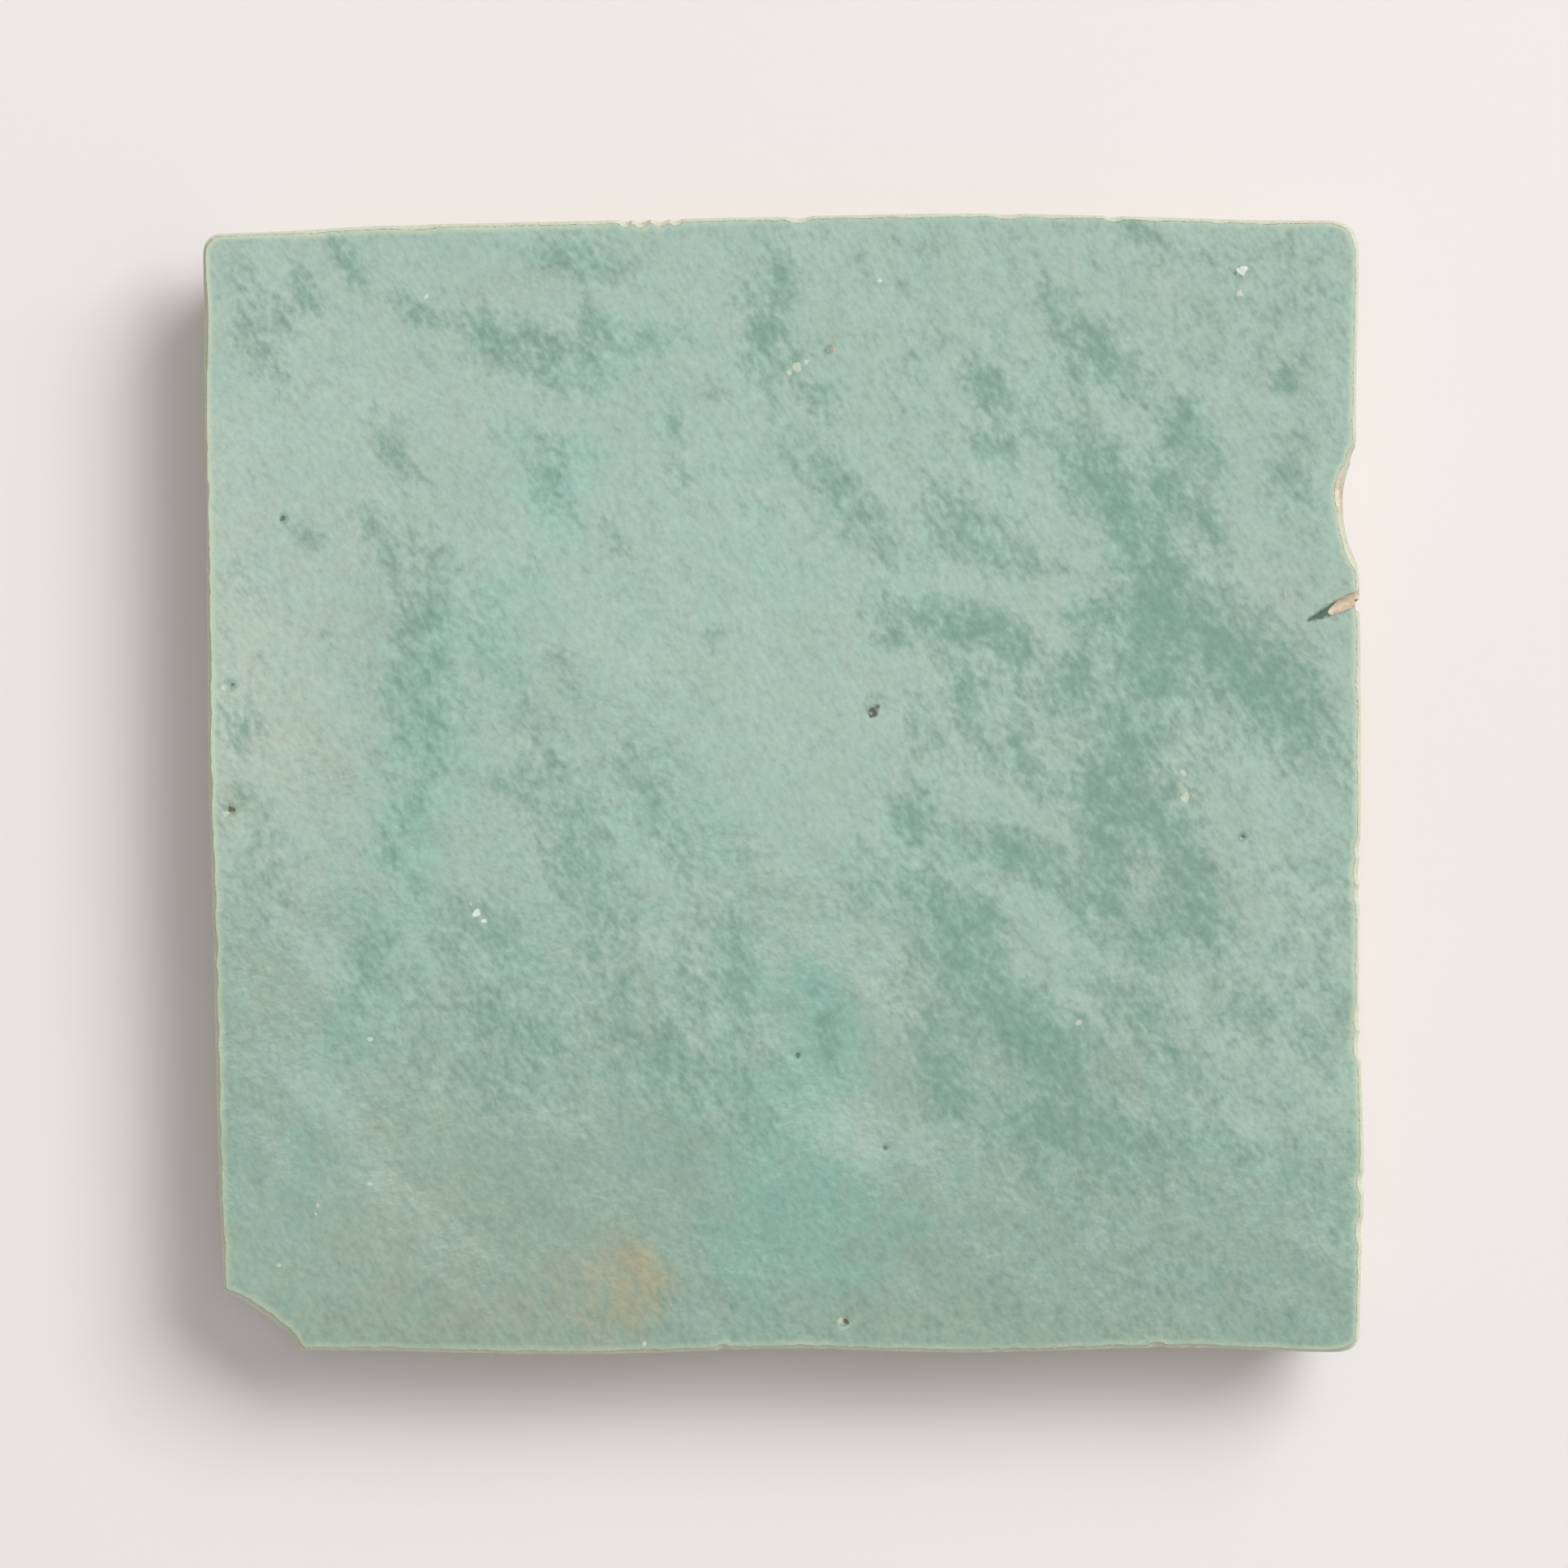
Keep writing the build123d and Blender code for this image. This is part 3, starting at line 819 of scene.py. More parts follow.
# Each kind of facet: depth, size in mm, seed
facets = [(0.72, 6.5, 1.0), (0.42, 2.4, 5.0), (0.15, 0.9, 8.0)]
sand_height = 0.06
sand_size = 0.5
bend = 0.8                    # how far a slow noise bends the facets' edges, mm
bend_size = 3.0
facet_tilt = 0.9              # how steeply a facet leans
facet_step = 0.35             # how far neighbours differ in height, in facet sizes


def leaning_cells(spot, size, seed):
    """The height of tilted facets at a point, from about -0.5 to 0.5."""
    scaled = spot / size + Vector((seed, seed * 1.7, seed * 2.3))
    distances, middles = noise.voronoi(scaled)
    lean = noise.cell_vector(middles[0] * 7.31) - Vector((0.5, 0.5, 0.5))
    level = noise.cell(middles[0] * 3.77) * facet_step
    return (scaled - middles[0]).dot(lean) * facet_tilt + level


def broken_clay(spot):
    """How far the clay is broken back at a point of the side, in mm (never under 0)."""
    starts = (Vector((0, 0, 0)), Vector((9, 0, 0)), Vector((0, 9, 0)))
    wander = Vector([noise.noise(spot / bend_size + start) for start in starts])
    bent = spot + wander * bend
    depth = mean_break
    for height, size, seed in facets:
        depth += height * leaning_cells(bent, size, seed)
    depth += sand_height * noise.noise(spot / sand_size)
    return max(0.0, depth)


side_rings = 24
overhang = 0.45               # the most that the side stands out past its arris, mm
relief_start = 1.6            # the facets reach their full depth this far down, mm
nick_end = 1.4                # a nick has run out this far down, mm


def side_ring(count):
    """A ring on the side, part of the way down from the arris to the bed."""
    down = (count / side_rings) ** 1.15

    def place_of(column):
        height = arris[column].z * (1 - down)
        spot = side_point(column, height)
        under = arris[column].z - height
        fade = min(1.0, under / relief_start)
        nick = nick_of(column) * max(0.0, 1 - under / nick_end)
        sunk = broken_clay(Vector((spot.x, spot.y, height))) * fade ** 0.7 + nick
        spot = spot - rays[column][1] * sunk
        past = (spot - arris[column].xy).dot(rays[column][1])
        spot -= rays[column][1] * max(0.0, past - overhang)
        return Vector((spot.x, spot.y, height)), -bare[column] - under
    return place_of


for count in range(1, side_rings + 1):
    next_ring(tile, side_ring(count))
print("with its sides:", len(tile.faces), "faces")

# %% [markdown]
# The back is the face that lay on the ground while the clay dried. It is flat, with
# shallow hollows. One more ring runs inwards to a smoother line, and a second, coarser
# grid closes the tile inside it. The grid's border is split to match the ring, laid
# exactly on it, and the two are merged.

# %% The back
back = bmesh.new()
back_column = back.verts.layers.int.new("column")
back_reach = back.verts.layers.float.new("glaze_reach")
back_steps = 90
back_margin = 3.0             # from the ragged edge of the back in to its grid, mm
back_rounds = 30              # rounds of smoothing
averaged = 10                 # columns on each side that the smoother line averages
dent_height = 0.10            # mm
dent_size = 9
under_glaze = -12.0           # the back lies this far from the glaze, mm
bed = [None] * columns
for vert in tile.verts:
    if vert.is_boundary:
        bed[vert[column_of]] = vert.co.xy


def back_line(column):
    """A point on the smoother line inside the back's ragged edge, in mm."""
    near = [bed[(column + step) % columns] for step in range(-averaged, averaged + 1)]
    way = rays[column][1]
    middle = sum(near, Vector((0, 0))) / len(near)
    return middle - way * back_margin * max(abs(way.x), abs(way.y))


back_ring = [back_line(column) for column in range(columns)]
next_ring(tile, lambda column: (Vector((*back_ring[column], 0)), under_glaze))
bmesh.ops.create_grid(back, x_segments=back_steps, y_segments=back_steps, size=1.0)
back_border = [edge for edge in back.edges if edge.is_boundary]
bmesh.ops.subdivide_edges(back, edges=back_border, cuts=3)
edge_verts = {vert for vert in back.verts if vert.is_boundary}
for vert in back.verts:
    spot = blended_point(vert.co.x, vert.co.y, back_ring)
    dent = 0.0
    if vert not in edge_verts:
        rough = noise.fractal(Vector((spot.x, spot.y, 40)) / dent_size, 1.0, 2.0, 4)
        dent = max(0.0, dent_height * rough)
    vert.co = Vector((spot.x, spot.y, dent))
    vert[back_reach] = under_glaze
even_out(back, [vert for vert in back.verts if vert not in edge_verts], back_rounds)
print("folded faces on the back:", turned_over(back))
back_data = bpy.data.meshes.new("Back")
back.to_mesh(back_data)
back.free()
tile.from_mesh(back_data)
bpy.data.meshes.remove(back_data)
bmesh.ops.remove_doubles(tile, verts=tile.verts, dist=1e-4)
print("open edges left:", sum(edge.is_boundary for edge in tile.edges))

# %% [markdown]
# A pit is smaller than one square of the grid, and so is a speck of pale or rusty grit in
# the glaze, or a spot of painted shade in a pit. So the edges round each of them, and
# along the cleft, are subdivided, and the new corners take their height from the same
# function as the rest.

# %% Finer mesh round the pits
# Each speck: x, y, radius in mm; grouped by what it is
speck_groups = {
    "pale_specks": [
        (8.6, 44.1, 0.24), (-31.1, 42.7, 0.26), (44.2, 16.7, 0.13), (-36.0, -22.3, 0.26),
        (-36.1, -35.0, 0.22), (-40.7, -36.9, 0.22), (-44.0, -42.1, 0.26),
        (-27.3, -10.5, 0.24), (-40.8, -37.6, 0.15), (-12.0, -49.0, 0.2),
    ],
    "cream_specks": [
        (40.1, 43.1, 0.32), (1.3, 36.6, 0.45), (0.7, 36.1, 0.28), (2.2, 37.1, 0.2), (-48.9, 8.5, 0.3),
        (-48.7, -2.6, 0.3), (5.1, -47.0, 0.3), (35.2, 1.0, 0.35), (35.4, -1.1, 0.4), (26.0, -20.9, 0.3),
    ],
    "white_specks": [(40.4, 45.1, 0.46), (-26.8, -11.2, 0.36), (-26.1, -11.9, 0.24)],
    "pink_specks": [(4.4, 38.2, 0.26), (-40.6, -36.6, 0.18)],
    # painted shade: dark spots that fill the pits
    "pit_and_cleft_shade": [
        (39.7, 44.8, 0.16), (3.8, 38.0, 0.18), (1.4, -23.7, 0.26),
        (40.4, -4.6, 0.24), (9.1, -31.8, 0.2), (-43.7, 23.3, 0.26), (-48.1, 8.7, 0.26),
    ],
    "rust_specks": [(-48.2, -2.2, 0.36), (5.6, -47.1, 0.3)],
    "umber_specks": [(8.0, 6.3, 0.46), (8.4, 6.9, 0.28)],
}
glaze_floor = 9.0             # the glazed face lies above this height, mm
marks = [(middle, 2.2 * radius + 0.4) for middle, radius, depth in pits]
for specks in speck_groups.values():
    marks += [(Vector((x, y)) + shift, radius + 0.42) for x, y, radius in specks]


def on_glaze(vert, least_reach):
    """True for a corner that lies this far inside the glaze's broken line."""
    return vert[reach_of] > least_reach and vert.co.z > glaze_floor


def refine(chosen, cuts):
    """Subdivide the glaze's edges wherever the test says so."""
    edges = [
        edge for edge in tile.edges
        if all(on_glaze(vert, 0.05) and chosen(vert.co.x, vert.co.y) for vert in edge.verts)
    ]
    made = bmesh.ops.subdivide_edges(tile, edges=edges, cuts=cuts, use_grid_fill=True)["geom_inner"]
    return len(made)


def near_mark(x, y):
    """True within a little more than a pit's or a speck's own radius."""
    return any((x - middle.x) ** 2 + (y - middle.y) ** 2 < reach ** 2 for middle, reach in marks)


def near_cleft(x, y):
    """True beside the cleft."""
    run, across = cleft_place(x, y)
    return -0.15 < run < 1.1 and abs(across) < 1.3


print("added round pits and cleft:", refine(near_mark, 3), refine(near_cleft, 3))
for vert in tile.verts:
    if on_glaze(vert, -0.001):
        vert.co.z = glaze_height(vert.co.x, vert.co.y)

# %% [markdown]
# The material needs to know where each thing is, so numbers are stored on every corner
# of the mesh: how far inside the glaze's broken line it lies, how satin the glaze is and
# how much shade is painted in the ripples, how much turquoise, beige, pale and brown the
# kiln left, and where a highlight is painted along the rim. The tints are soft clouds,
# drawn as ovals. For the specks the number is how far inside one a corner lies, in mm.

# %% Tints stored on the mesh
def cloud(x, y, middle_x, middle_y, long_half, wide_half, heading):
    """A soft oval, 1 in its middle and fading to 0, its long axis below +X by heading."""
    turn = math.radians(heading)
    right = x - middle_x - shift.x
    up = y - middle_y - shift.y
    along = right * math.cos(turn) - up * math.sin(turn)
    across = right * math.sin(turn) + up * math.cos(turn)
    return math.exp(-(along / long_half) ** 2 - (across / wide_half) ** 2)


# Each tint's ovals: x, y, half length, half width in mm, degrees below +X, share
tints = {
    "turquoise": [
        (0, -43, 16, 9, -55, 1), (-31, 3, 11, 4, 85, 0.7), (-36, -18, 12, 4, 110, 0.6),
        (-44, -32, 12, 6, 100, 0.3), (4, -20, 6, 3, 75, 0.8), (-20, 26, 6, 4, 70, 0.5),
        (-8, 30, 10, 8, 0, 0.2), (20, 45, 25, 6, 5, 0.1), (-22, 30, 6, 5, 60, 0.2),
        (30, 14, 14, 9, 60, 0.2), (-25, 14, 5, 5, 0, 0.5), (-14, 38, 4, 5, 0, 0.3),
        (-10, 0, 10, 10, 0, 0.3), (0, 20, 6, 6, 0, 0.3), (-43, 24, 4, 11, 0, 0.4),
        (-40, -6, 6, 5, 0, 0.5), (-22, -17, 5, 5, 0, 0.5), (-3, -18, 5, 5, 0, 0.5),
        (-36, -24, 5, 4, 0, 0.5), (-24, -29, 4, 6, 0, 0.5), (5, -40, 5, 6, 0, 0.7),
        (-33, -5, 4, 5, 0, 0.4), (-42, -36, 4, 7, 0, 0.3), (13, 17, 5, 5, 0, 0.3), (1, -28, 4, 4, 0, 0.5),
        (-3, -47, 6, 4, 0, 0.6), (-12, 17, 12, 6, 0, 0.25), (4, -41, 4, 6, 45, 0.4),
        (-36, -30, 5, 5, 0, 0.4), (-40, -13, 6, 4, 0, 0.3), (36, -30, 5, 4, 0, 0.6),
        (42, -37, 6, 4, 0, 0.5), (25, -18, 5, 4, 0, 0.3), (12, -8, 10, 8, 0, 0.25),
    ],
    "beige": [
        (-22, -44, 22, 9, 5, 1), (-40, -6, 8, 16, 0, 0.5), (10, -38, 9, 7, 0, 0.3),
        (-28, -30, 9, 10, 0, 0.6), (16, -48, 20, 4, 0, 1), (30, -30, 18, 12, 30, 0.5),
        (-44, -22, 6, 12, 0, 0.3), (-36.2, -28.7, 4, 6, 60, 0.5), (35, -5, 16, 8, 45, 0.4),
        (40, 42, 12, 9, 0, 0.5), (38, -42, 16, 8, 0, 0.4), (-35, 18, 4, 9, 0, 0.4),
        (-28, 33, 8, 3, 0, 0.3), (45, 15, 6, 9, 0, 0.6), (25, 15, 7, 5, 0, 0.3), (45, 33, 3, 3, 0, 0.4),
        (-29, -7, 3, 6, 30, 0.4), (-46, -27, 3, 9, 0, 0.3), (-16, -45, 6, 4, 0, 0.7),
        (-28, -48, 16, 4, 0, 0.6), (14, 44, 15, 5, 0, 0.3), (13, -43, 7, 4, 20, 0.4),
        (8, -33, 4, 4, 0, 0.3), (-43, 21, 6, 6, 0, 0.5), (39, 16, 6, 5, 0, 0.3), (-10, -34, 6, 5, 0, 0.3),
        (-46, 44, 6, 4, 0, 0.3), (-22, 44, 8, 3, 0, 0.3),
    ],
    "brown": [
        (-12, -42.2, 2.2, 1.3, 40, 0.8), (-14.4, -43.9, 3.6, 2.2, 15, 0.65),
        (-13.2, -41.4, 3.2, 2.4, 0, 0.3), (-13.2, -46.8, 2.2, 2.4, 90, 0.25),
        (-18.5, -45.5, 5, 2.4, 10, 0.14), (-36.2, -28.7, 2, 4.4, 10, 0.12), (4.6, -46.4, 2, 1.4, 0, 0.16),
        (48.9, 25.5, 1.8, 0.5, 90, 1), (-22, -47, 10, 3, 0, 0.18), (-48.5, -2, 1.5, 2.5, 0, 0.3),
    ],
    "pale": [
        (-46, 12, 7, 26, 0, 1), (-40, 26, 7, 12, 0, 0.2), (-4, 14, 20, 13, 0, 0.35),
        (-38, -40, 10, 7, 0, 1.4), (-28, -30, 9, 7, 0, 0.4), (-20, -18, 12, 5, 0, 0.4),
        (0, -18, 9, 6, 0, 0.7), (-40, -6, 6, 8, 0, 0.3), (35, 1, 3, 3, 0, 0.5), (6, -30, 6, 4.5, 0, 0.9),
        (10, -22, 4, 7, 0, 0.3), (6, -44, 4, 3, 0, 0.4), (-16, -40, 4, 3, 0, 0.5),
        (-40, -33, 5, 8, 0, 0.8), (-28, 33, 14, 8, 0, 0.2), (-14, 19, 9, 8, 0, 0.2),
        (-29, -3, 3, 8, 0, 0.35), (-40, 0, 3, 7, 0, 0.35), (-43, -17, 5, 3, 0, 0.3),
        (8, -20, 3, 6, 0, 0.5), (2, -10, 5, 3, 0, 0.4), (7, -42, 4, 5, 0, 0.5),
    ],
    # painted highlight: a pale line along the glaze's broken edge, where the edge catches the light
    "rim_highlight": [
        (50, 0, 90, 8, 90, 1), (-50, 0, 90, 8, 90, 0.85), (0, -50, 90, 6, 0, 0.55),
        (-30, 49, 26, 6, 0, 0.9), (30, 49, 26, 6, 0, 0.3),
    ],
    # where it ran over the slope of the notch
    "run_over": [(49.8, 25, 7.5, 3, 90, 1)],
}


def inside_specks(x, y, specks):
    """How far inside the nearest of some specks a point lies, in mm, or -1 outside."""
    insides = [
        radius - math.hypot(x - middle_x - shift.x, y - middle_y - shift.y)
        for middle_x, middle_y, radius in specks
    ]
    return max(-1.0, max(insides))


# Along the cleft (0 tip, 1 mouth): bare clay shows from one place on, further out on
# the upper wall, and the painted shade of the groove reaches to another, further out on
# the upper wall too
clay_from = 0.45
clay_slant = 0.25
clay_fade = 3.0               # how fast the clay ends there, mm along the whole cleft
dark_until = 0.5
dark_wall_until = 0.85
dark_beside = 0.06            # the dark runs this far over the cleft's edge, mm
deepest_marked = -2.0         # nothing is stored further under the broken line, mm


def mark_cleft(vert):
    """Store the clay in the cleft's mouth and the painted shade of its tip and upper wall."""
    run, across = cleft_place(vert.co.x, vert.co.y)
    if -0.05 < run < 1.3:
        inside = cleft_half(run) - abs(across)
        before_clay = min(0.0, run - clay_from - clay_slant * across)
        vert[layers["cleft_clay"]] = inside + clay_fade * before_clay
        # painted shade: the cleft's tip and upper wall are painted dark, as the shade in the groove
        if run < dark_until or (run < dark_wall_until and across > 0):
            dark = vert[layers["pit_and_cleft_shade"]]
            vert[layers["pit_and_cleft_shade"]] = max(dark, inside + dark_beside)


bmesh.ops.triangulate(tile, faces=[face for face in tile.faces if len(face.verts) > 4])
bmesh.ops.recalc_face_normals(tile, faces=tile.faces)
layer_names = ["satin", "cleft_clay", *tints, *speck_groups]
layers = {name: tile.verts.layers.float.new(name) for name in layer_names}
for vert in tile.verts:
    x, y = vert.co.x, vert.co.y
    for name in speck_groups:
        vert[layers[name]] = -1.0
    vert[layers["cleft_clay"]] = -1.0
    if vert[reach_of] > deepest_marked:
        vert[layers["satin"]] = satin_share(x, y)
        for name, ovals in tints.items():
            vert[layers[name]] = min(1.0, sum(cloud(x, y, *oval[:5]) * oval[5] for oval in ovals))
        for name, specks in speck_groups.items():
            vert[layers[name]] = inside_specks(x, y, specks)
        mark_cleft(vert)
print("stored", len(layers) + 1, "numbers on", len(tile.verts), "corners")

# %% [markdown]
# The finished mesh goes into one object, in metres, at the origin. Its faces are smooth
# and its sharp ridges are marked by angle, so that the gloss flows over the ripples
# while the clay keeps its broken edges. The object stands for the CAD node from now on.

# %% The tile as an object
sharp_from = 34               # edges bent by more than this many degrees stay sharp
bmesh.ops.scale(tile, verts=tile.verts, vec=(MM, MM, MM))
highest = cad_box[1].z - 0.01 * MM
for vert in tile.verts:
    vert.co.z = min(vert.co.z, highest)
for face in tile.faces:
    face.smooth = True
tile_data = bpy.data.meshes.new("Hand_cut_tile")
tile.to_mesh(tile_data)
tile.free()
tile_data.set_sharp_from_angle(angle=math.radians(sharp_from))
hand_cut_tile = bpy.data.objects.new("Hand_cut_tile", tile_data)
bpy.context.scene.collection.objects.link(hand_cut_tile)
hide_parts("zellige_tile")
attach(hand_cut_tile, "root")
tile_data.calc_loop_triangles()
print("tile:", len(tile_data.loop_triangles), "triangles")

# %% [markdown]
# The material is two materials in one shader. The glaze is a clear lead glaze over
# pale clay, tinted green by copper: a gloss of index 1.5 over a soft grey green. Under
# the broken line it gives way to bare fired clay, matt and sandy. Two material slots
# would meet along the mesh's edges, which is too smooth a line, so a mask runs between
# the two instead. It comes from the stored distance, made ragged by a fine noise.
#
# Every pattern here is a noise whose lumps have a real size in millimetres. The
# peppery grain in the glaze is finer on the real tile than half a millimetre. It is
# drawn that coarse so that it still shows in the picture.

# %% Tile material: noises
tile_skin, tree, shader = new_material("Lead_glaze_on_fired_clay")
place = add(tree, "TexCoord", output="Object")
# Each noise: length and width of its lumps in mm, turn below +X in degrees, offset in
# mm, detail, roughness, dimensions. Two are quicker than three, and do for the face.
noise_list = {
    "ragged": (0.35, 0.35, 0, (0, 0, 0), 1.0, 0.5, "2D"),
    "grain": (0.8, 0.5, 55, (0, 0, 0), 1.0, 0.6, "2D"),
    "crumbs": (1.9, 1.0, 55, (7, 3, 0), 1.0, 0.6, "2D"),
    "lumps": (3.6, 2.2, 55, (0, 0, 0), 1.0, 0.5, "2D"),
    "drift": (8.0, 8.0, 0, (0, 0, 0), 3.0, 0.6, "2D"),
    "cast": (3.6, 3.6, 0, (21, 9, 0), 3.0, 0.65, "2D"),
    "peel": (1.1, 1.1, 0, (5, 5, 0), 2.0, 0.6, "2D"),
    "clay_cloud": (6.0, 6.0, 0, (30, 0, 0), 1.0, 0.5, "3D"),
    "clay_stain": (2.6, 2.6, 0, (60, 0, 0), 3.0, 0.6, "3D"),
    "clay_grain": (0.5, 0.5, 0, (0, 30, 0), 3.0, 0.7, "3D"),
}
noises = {}
for name, (length, width, turn, offset, detail, rough, dimensions) in noise_list.items():
    location = tuple(part * MM for part in offset)
    rotation = (0, 0, math.radians(-turn))
    size = (length * MM, width * MM, width * MM)
    cell = add(tree, "Mapping", (place, location, rotation, size), vector_type="TEXTURE")
    noises[name] = add(
        tree,
        "TexNoise",
        {"Vector": cell, "Scale": 1.0, "Detail": detail, "Roughness": rough},
        noise_dimensions=dimensions,
    )
print("noises:", ", ".join(noises))

# %% [markdown]
# Two small recipes take up what repeats below. One adds noises to a value, so that a
# smooth mask turns into a crumbled one. The other lays a coat of colour over what is
# there, as a painter does.

# %% Tile material: masks
smooth = {"interpolation_type": "SMOOTHSTEP"}


def crumbled(value, **weights):
    """A value plus some of the noises, each taken about zero and times its weight."""
    for name, weight in weights.items():
        middled = add(tree, "Math", (noises[name], 0.5), operation="SUBTRACT")
        weighted = add(tree, "Math", (middled, weight), operation="MULTIPLY")
        value = add(tree, "Math", (value, weighted), operation="ADD")
    return value


def coat(under, share, weight, colour):
    """A coat of colour over another, as thick as a share from 0 to 1 times a weight."""
    thickness = add(tree, "Math", (share, weight), operation="MULTIPLY")
    return add(tree, "Mix", (thickness, under, colour), data_type="RGBA")


stored = {
    name: add(tree, "Attribute", output="Fac", attribute_name=name)
    for name in ("glaze_reach", *layer_names)
}
rim_reach = crumbled(stored["glaze_reach"], ragged=0.26)
outside_cleft = add(tree, "Math", (stored["cleft_clay"], -1.0), operation="MULTIPLY")
outside_cleft = crumbled(outside_cleft, ragged=0.208)
reach = add(tree, "Math", (rim_reach, outside_cleft), operation="MINIMUM")
glazed = add(tree, "MapRange", (reach, -0.02, 0.02), **smooth)
print("stored numbers read:", ", ".join(stored))

# %% [markdown]
# The glaze's own colour varies at every size: wide clouds where the wash ran thin or
# thick, drifts a few millimetres across, and a fine peppery grain. The stored tints
# come on top, coat by coat. Where the glaze is satin, the veil's light is spread, and
# there a deeper green is painted in as well, as painted shade where the soft box's
# reflection breaks off. That mask is torn by lumps of three sizes, so its edges
# crumble into grain. Along the broken edge a pale line is painted as a highlight.

# %% Tile material: glaze colour
wavering = crumbled(1.0, drift=0.8, lumps=0.6)
shares = {
    name: add(tree, "Math", (stored[name], wavering), operation="MULTIPLY", use_clamp=True)
    for name in ("pale", "turquoise", "beige", "brown", "rim_highlight")
}
blotched = crumbled(1.0, crumbs=1.6, lumps=1.2)
shares["brown"] = add(
    tree, "Math", (shares["brown"], blotched), operation="MULTIPLY", use_clamp=True
)
wash = add(tree, "MapRange", (noises["drift"], 0.3, 0.7), **smooth)
glaze = add(tree, "Mix", (wash, "#8FAD9B", "#95B3A2"), data_type="RGBA")
glaze = coat(glaze, shares["pale"], 0.8, "#B0BFAD")
glaze = coat(glaze, shares["turquoise"], 0.85, "#81B4A6")
glaze = coat(glaze, shares["beige"], 0.75, "#97A896")
glaze = coat(glaze, shares["brown"], 0.85, "#B0A380")
warm_or_cold = add(tree, "MapRange", (noises["cast"], 0.3, 0.7), **smooth)
cast = add(tree, "Mix", (warm_or_cold, "#A3AC92", "#7EB4A7"), data_type="RGBA")
glaze = add(tree, "Mix", (0.15, glaze, cast), data_type="RGBA")
torn = crumbled(stored["satin"], lumps=0.6, crumbs=-0.72, grain=-0.58)
satin = add(tree, "MapRange", (torn, 0.05, 1.08), **smooth)
# painted shade: a deeper green where the soft box's reflection breaks off; the same mask also makes the
# glaze satin
glaze = coat(glaze, satin, 0.70, "#729A88")
pepper = crumbled(1.0, grain=0.32, crumbs=0.18, lumps=-0.10)
glaze = add(tree, "VectorMath", (glaze, pepper), operation="SCALE")
# painted highlight: a pale line along the glaze's broken edge
rim_highlight_line = add(tree, "MapRange", (rim_reach, 0.7, 0.05), **smooth)
rim_highlight_line = add(tree, "Math", (rim_highlight_line, shares["rim_highlight"]), operation="MULTIPLY")
glaze = coat(glaze, rim_highlight_line, 0.9, "#BDC9AC")
print("glaze colour ready,", len(tree.nodes), "nodes so far")

# %% [markdown]
# Specks of grit lie in the glaze. Burst pits and the cleft's tip are painted dark inside,
# as painted shade. Each group has its own colour, and its stored distance gives round
# spots, which the grain makes ragged.

# %% Tile material: specks
speck_colours = {
    "pale_specks": "#CBDAD0",
    "white_specks": "#EEF0E8",
    "cream_specks": "#C7CDB2",
    "pink_specks": "#C9A692",
    # painted shade in the pits and the cleft
    "pit_and_cleft_shade": "#59685C",
    "rust_specks": "#6E4F3C",
    "umber_specks": "#5C5148",
}
speck_masks = {}
for name, colour in speck_colours.items():
    inside = crumbled(stored[name], grain=0.5)
    speck_masks[name] = add(tree, "MapRange", (inside, -0.02, 0.14), **smooth)
    glaze = coat(glaze, speck_masks[name], 0.85, colour)
print("groups of specks:", len(speck_masks))

# %% [markdown]
# Fired clay of this kind is a sandy cream, pinker where the fire was hotter, with rust
# coloured stains from the iron in it and darker crumbs. The broken glaze shows as a thin
# glassy line above it.

# %% Tile material: clay colour
hotter = add(tree, "MapRange", (noises["clay_cloud"], 0.3, 0.7), **smooth)
clay = add(tree, "Mix", (hotter, "#E4DAC6", "#D9C6AB"), data_type="RGBA")
rusty = add(tree, "MapRange", (noises["clay_stain"], 0.56, 0.72), **smooth)
clay = coat(clay, rusty, 0.6, "#C89468")
bleached = add(tree, "MapRange", (noises["clay_stain"], 0.44, 0.34), **smooth)
clay = coat(clay, bleached, 0.7, "#EFE6D3")
# The clay of the left side is pinker, in spots
beside = add(tree, "SeparateXYZ", (place,), output="X")
left_side_tint = add(tree, "MapRange", (beside, -48.5 * MM, -50.0 * MM), **smooth)
left_tint_spots = add(tree, "MapRange", (noises["clay_stain"], 0.3, 0.55, 0.4, 1.0), **smooth)
left_tint = add(tree, "Math", (left_side_tint, left_tint_spots), operation="MULTIPLY")
clay = coat(clay, left_tint, 0.6, "#B98A6E")
dark_crumbs = add(tree, "MapRange", (noises["clay_grain"], 0.36, 0.27), **smooth)
clay = coat(clay, dark_crumbs, 0.5, "#8E7356")
# painted shade: the clay of the sides is darker from about a millimetre under the arris down
painted_shade_lower_down = add(tree, "MapRange", (reach, -1.3, -0.4, 0.84, 1.0), **smooth)
sandy = add(tree, "MapRange", (noises["clay_grain"], 0.25, 0.75, 0.84, 1.12), **smooth)
clay_shade = add(tree, "Math", (sandy, painted_shade_lower_down), operation="MULTIPLY")
clay = add(tree, "VectorMath", (clay, clay_shade), operation="SCALE")
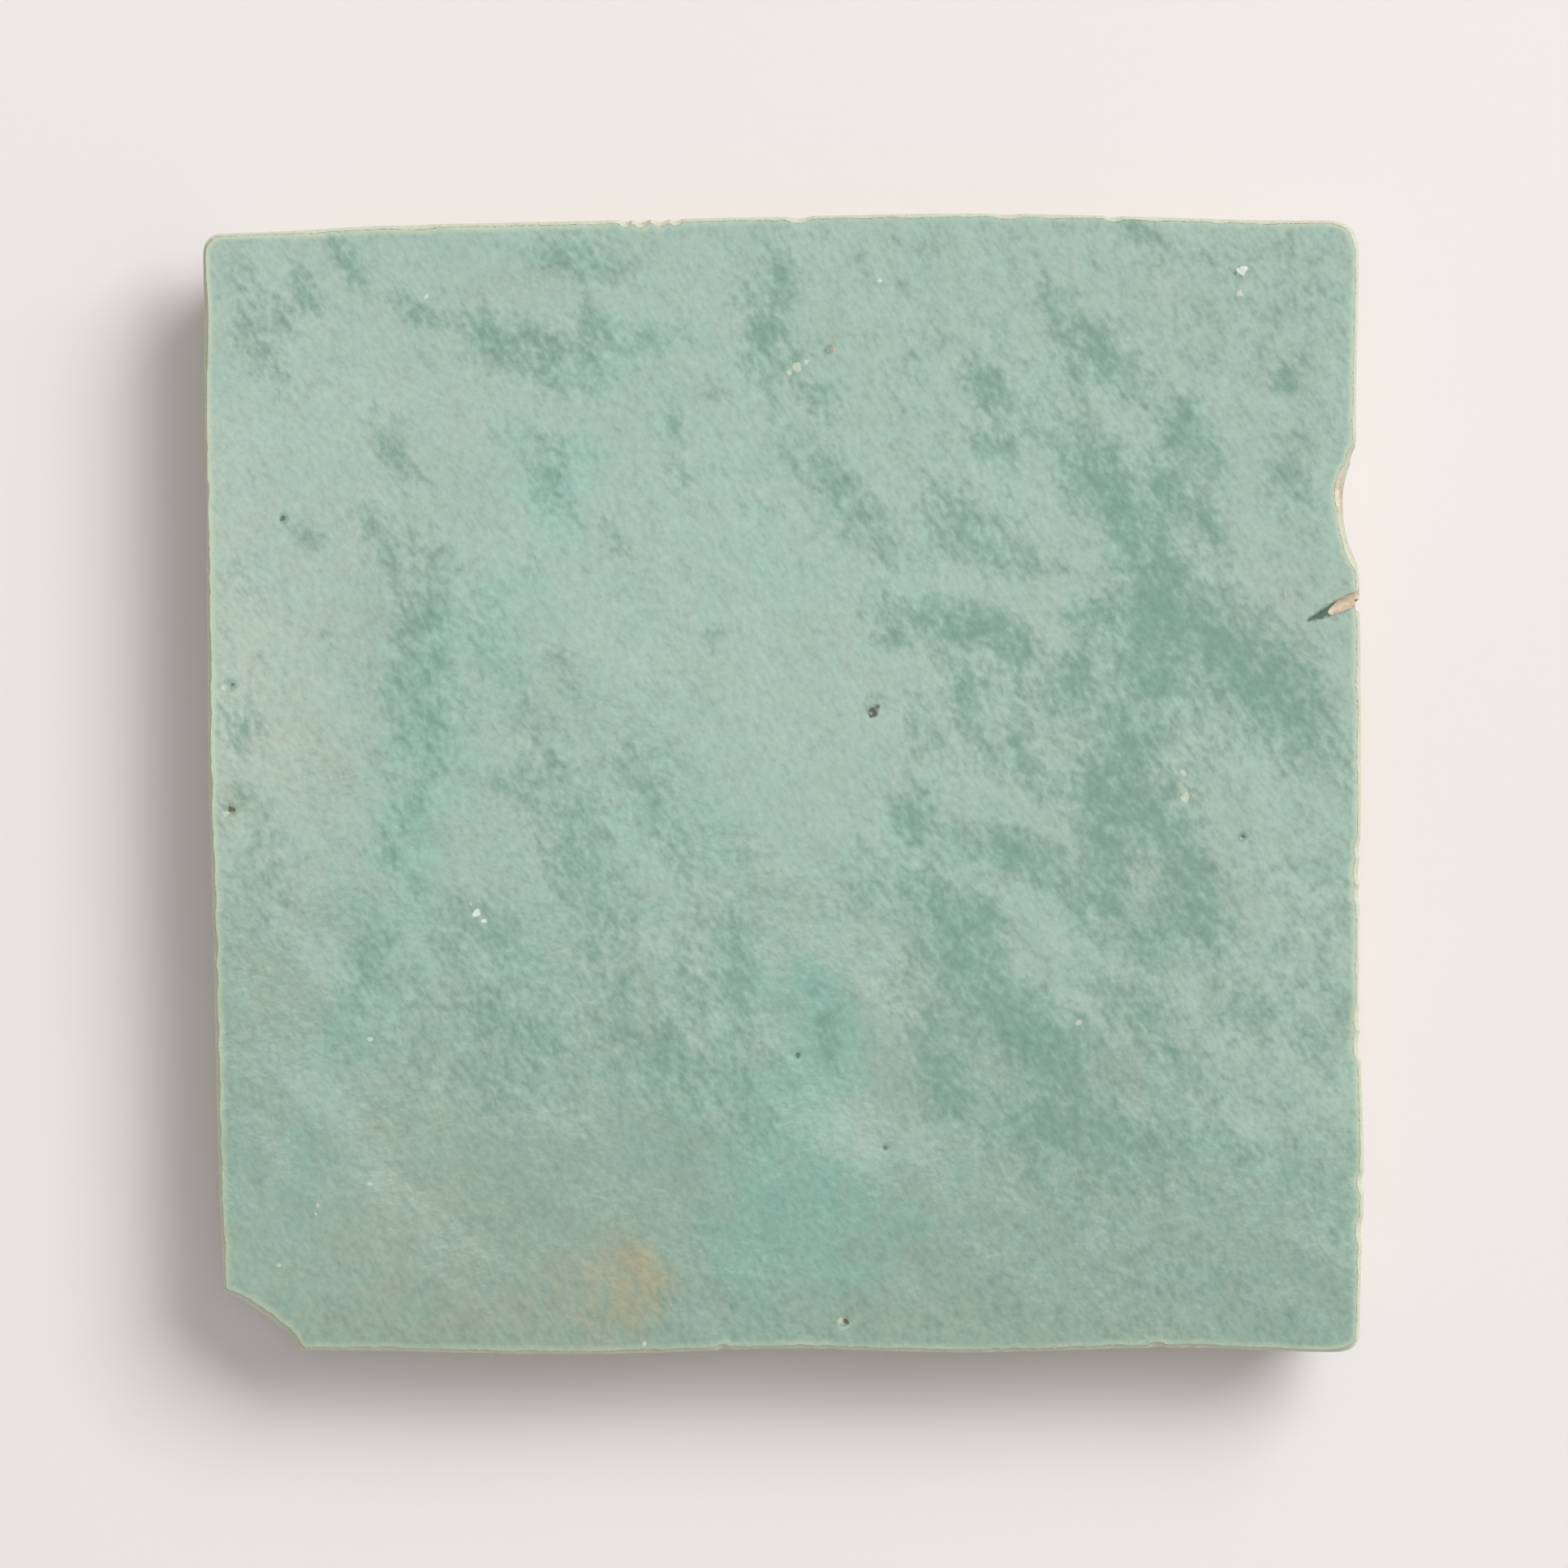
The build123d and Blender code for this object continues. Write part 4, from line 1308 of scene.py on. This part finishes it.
print("clay colour ready,", len(tree.nodes), "nodes so far")

# %% [markdown]
# Seen from the side, the glaze is a glassy line half a millimetre high. It frays where
# it ran over the notch, and it is missing in the cleft and where the stain lies.

# %% Tile material: the glaze's section
run_over = add(tree, "Math", (stored["run_over"], 1.5), operation="MULTIPLY")
frayed = crumbled(run_over, clay_stain=0.9)
frayed = add(tree, "Math", (rim_reach, frayed), operation="ADD")
section = add(tree, "MapRange", (frayed, -0.8, -0.4, 0.0, 0.85), **smooth)
unstained = add(tree, "Math", (1.0, stored["brown"]), operation="SUBTRACT")
section = add(tree, "Math", (section, unstained), operation="MULTIPLY")
out_of_cleft = add(tree, "Math", (stored["cleft_clay"], -0.3), operation="LESS_THAN")
clay = coat(clay, section, out_of_cleft, "#CDD4BD")
skin_colour = add(tree, "Mix", (glazed, clay, glaze), data_type="RGBA")
tree.links.new(skin_colour, shader.inputs["Base Color"])
print("skin colour ready,", len(tree.nodes), "nodes so far")

# %% [markdown]
# Last come the gloss and the fine relief. Heights are given in millimetres, because the
# Bump node's distance is set to one millimetre. The glaze has a faint orange peel, a
# hundredth of a millimetre high. The clay is rough at the size of sand grains. The gloss
# index stays at 1.5 for both.

# %% Tile material: gloss and fine relief
sand = add(tree, "Math", (noises["clay_grain"], 0.18), operation="MULTIPLY")
orange_peel = add(tree, "Math", (noises["peel"], 0.011), operation="MULTIPLY")
relief = add(tree, "Mix", (glazed, sand, orange_peel), data_type="FLOAT")
bump = add(tree, "Bump", {"Height": relief, "Strength": 1.0, "Distance": MM})
tree.links.new(bump, shader.inputs["Normal"])
gloss = add(tree, "Mix", (satin, 0.10, 0.30), data_type="FLOAT")
gloss = add(tree, "Mix", (speck_masks["pit_and_cleft_shade"], gloss, 0.7), data_type="FLOAT")
roughness = add(tree, "Mix", (glazed, 0.92, gloss), data_type="FLOAT")
tree.links.new(roughness, shader.inputs["Roughness"])
shader.inputs["IOR"].default_value = 1.5
hand_cut_tile.data.materials.append(tile_skin)
print("tile material:", len(tree.nodes), "nodes")
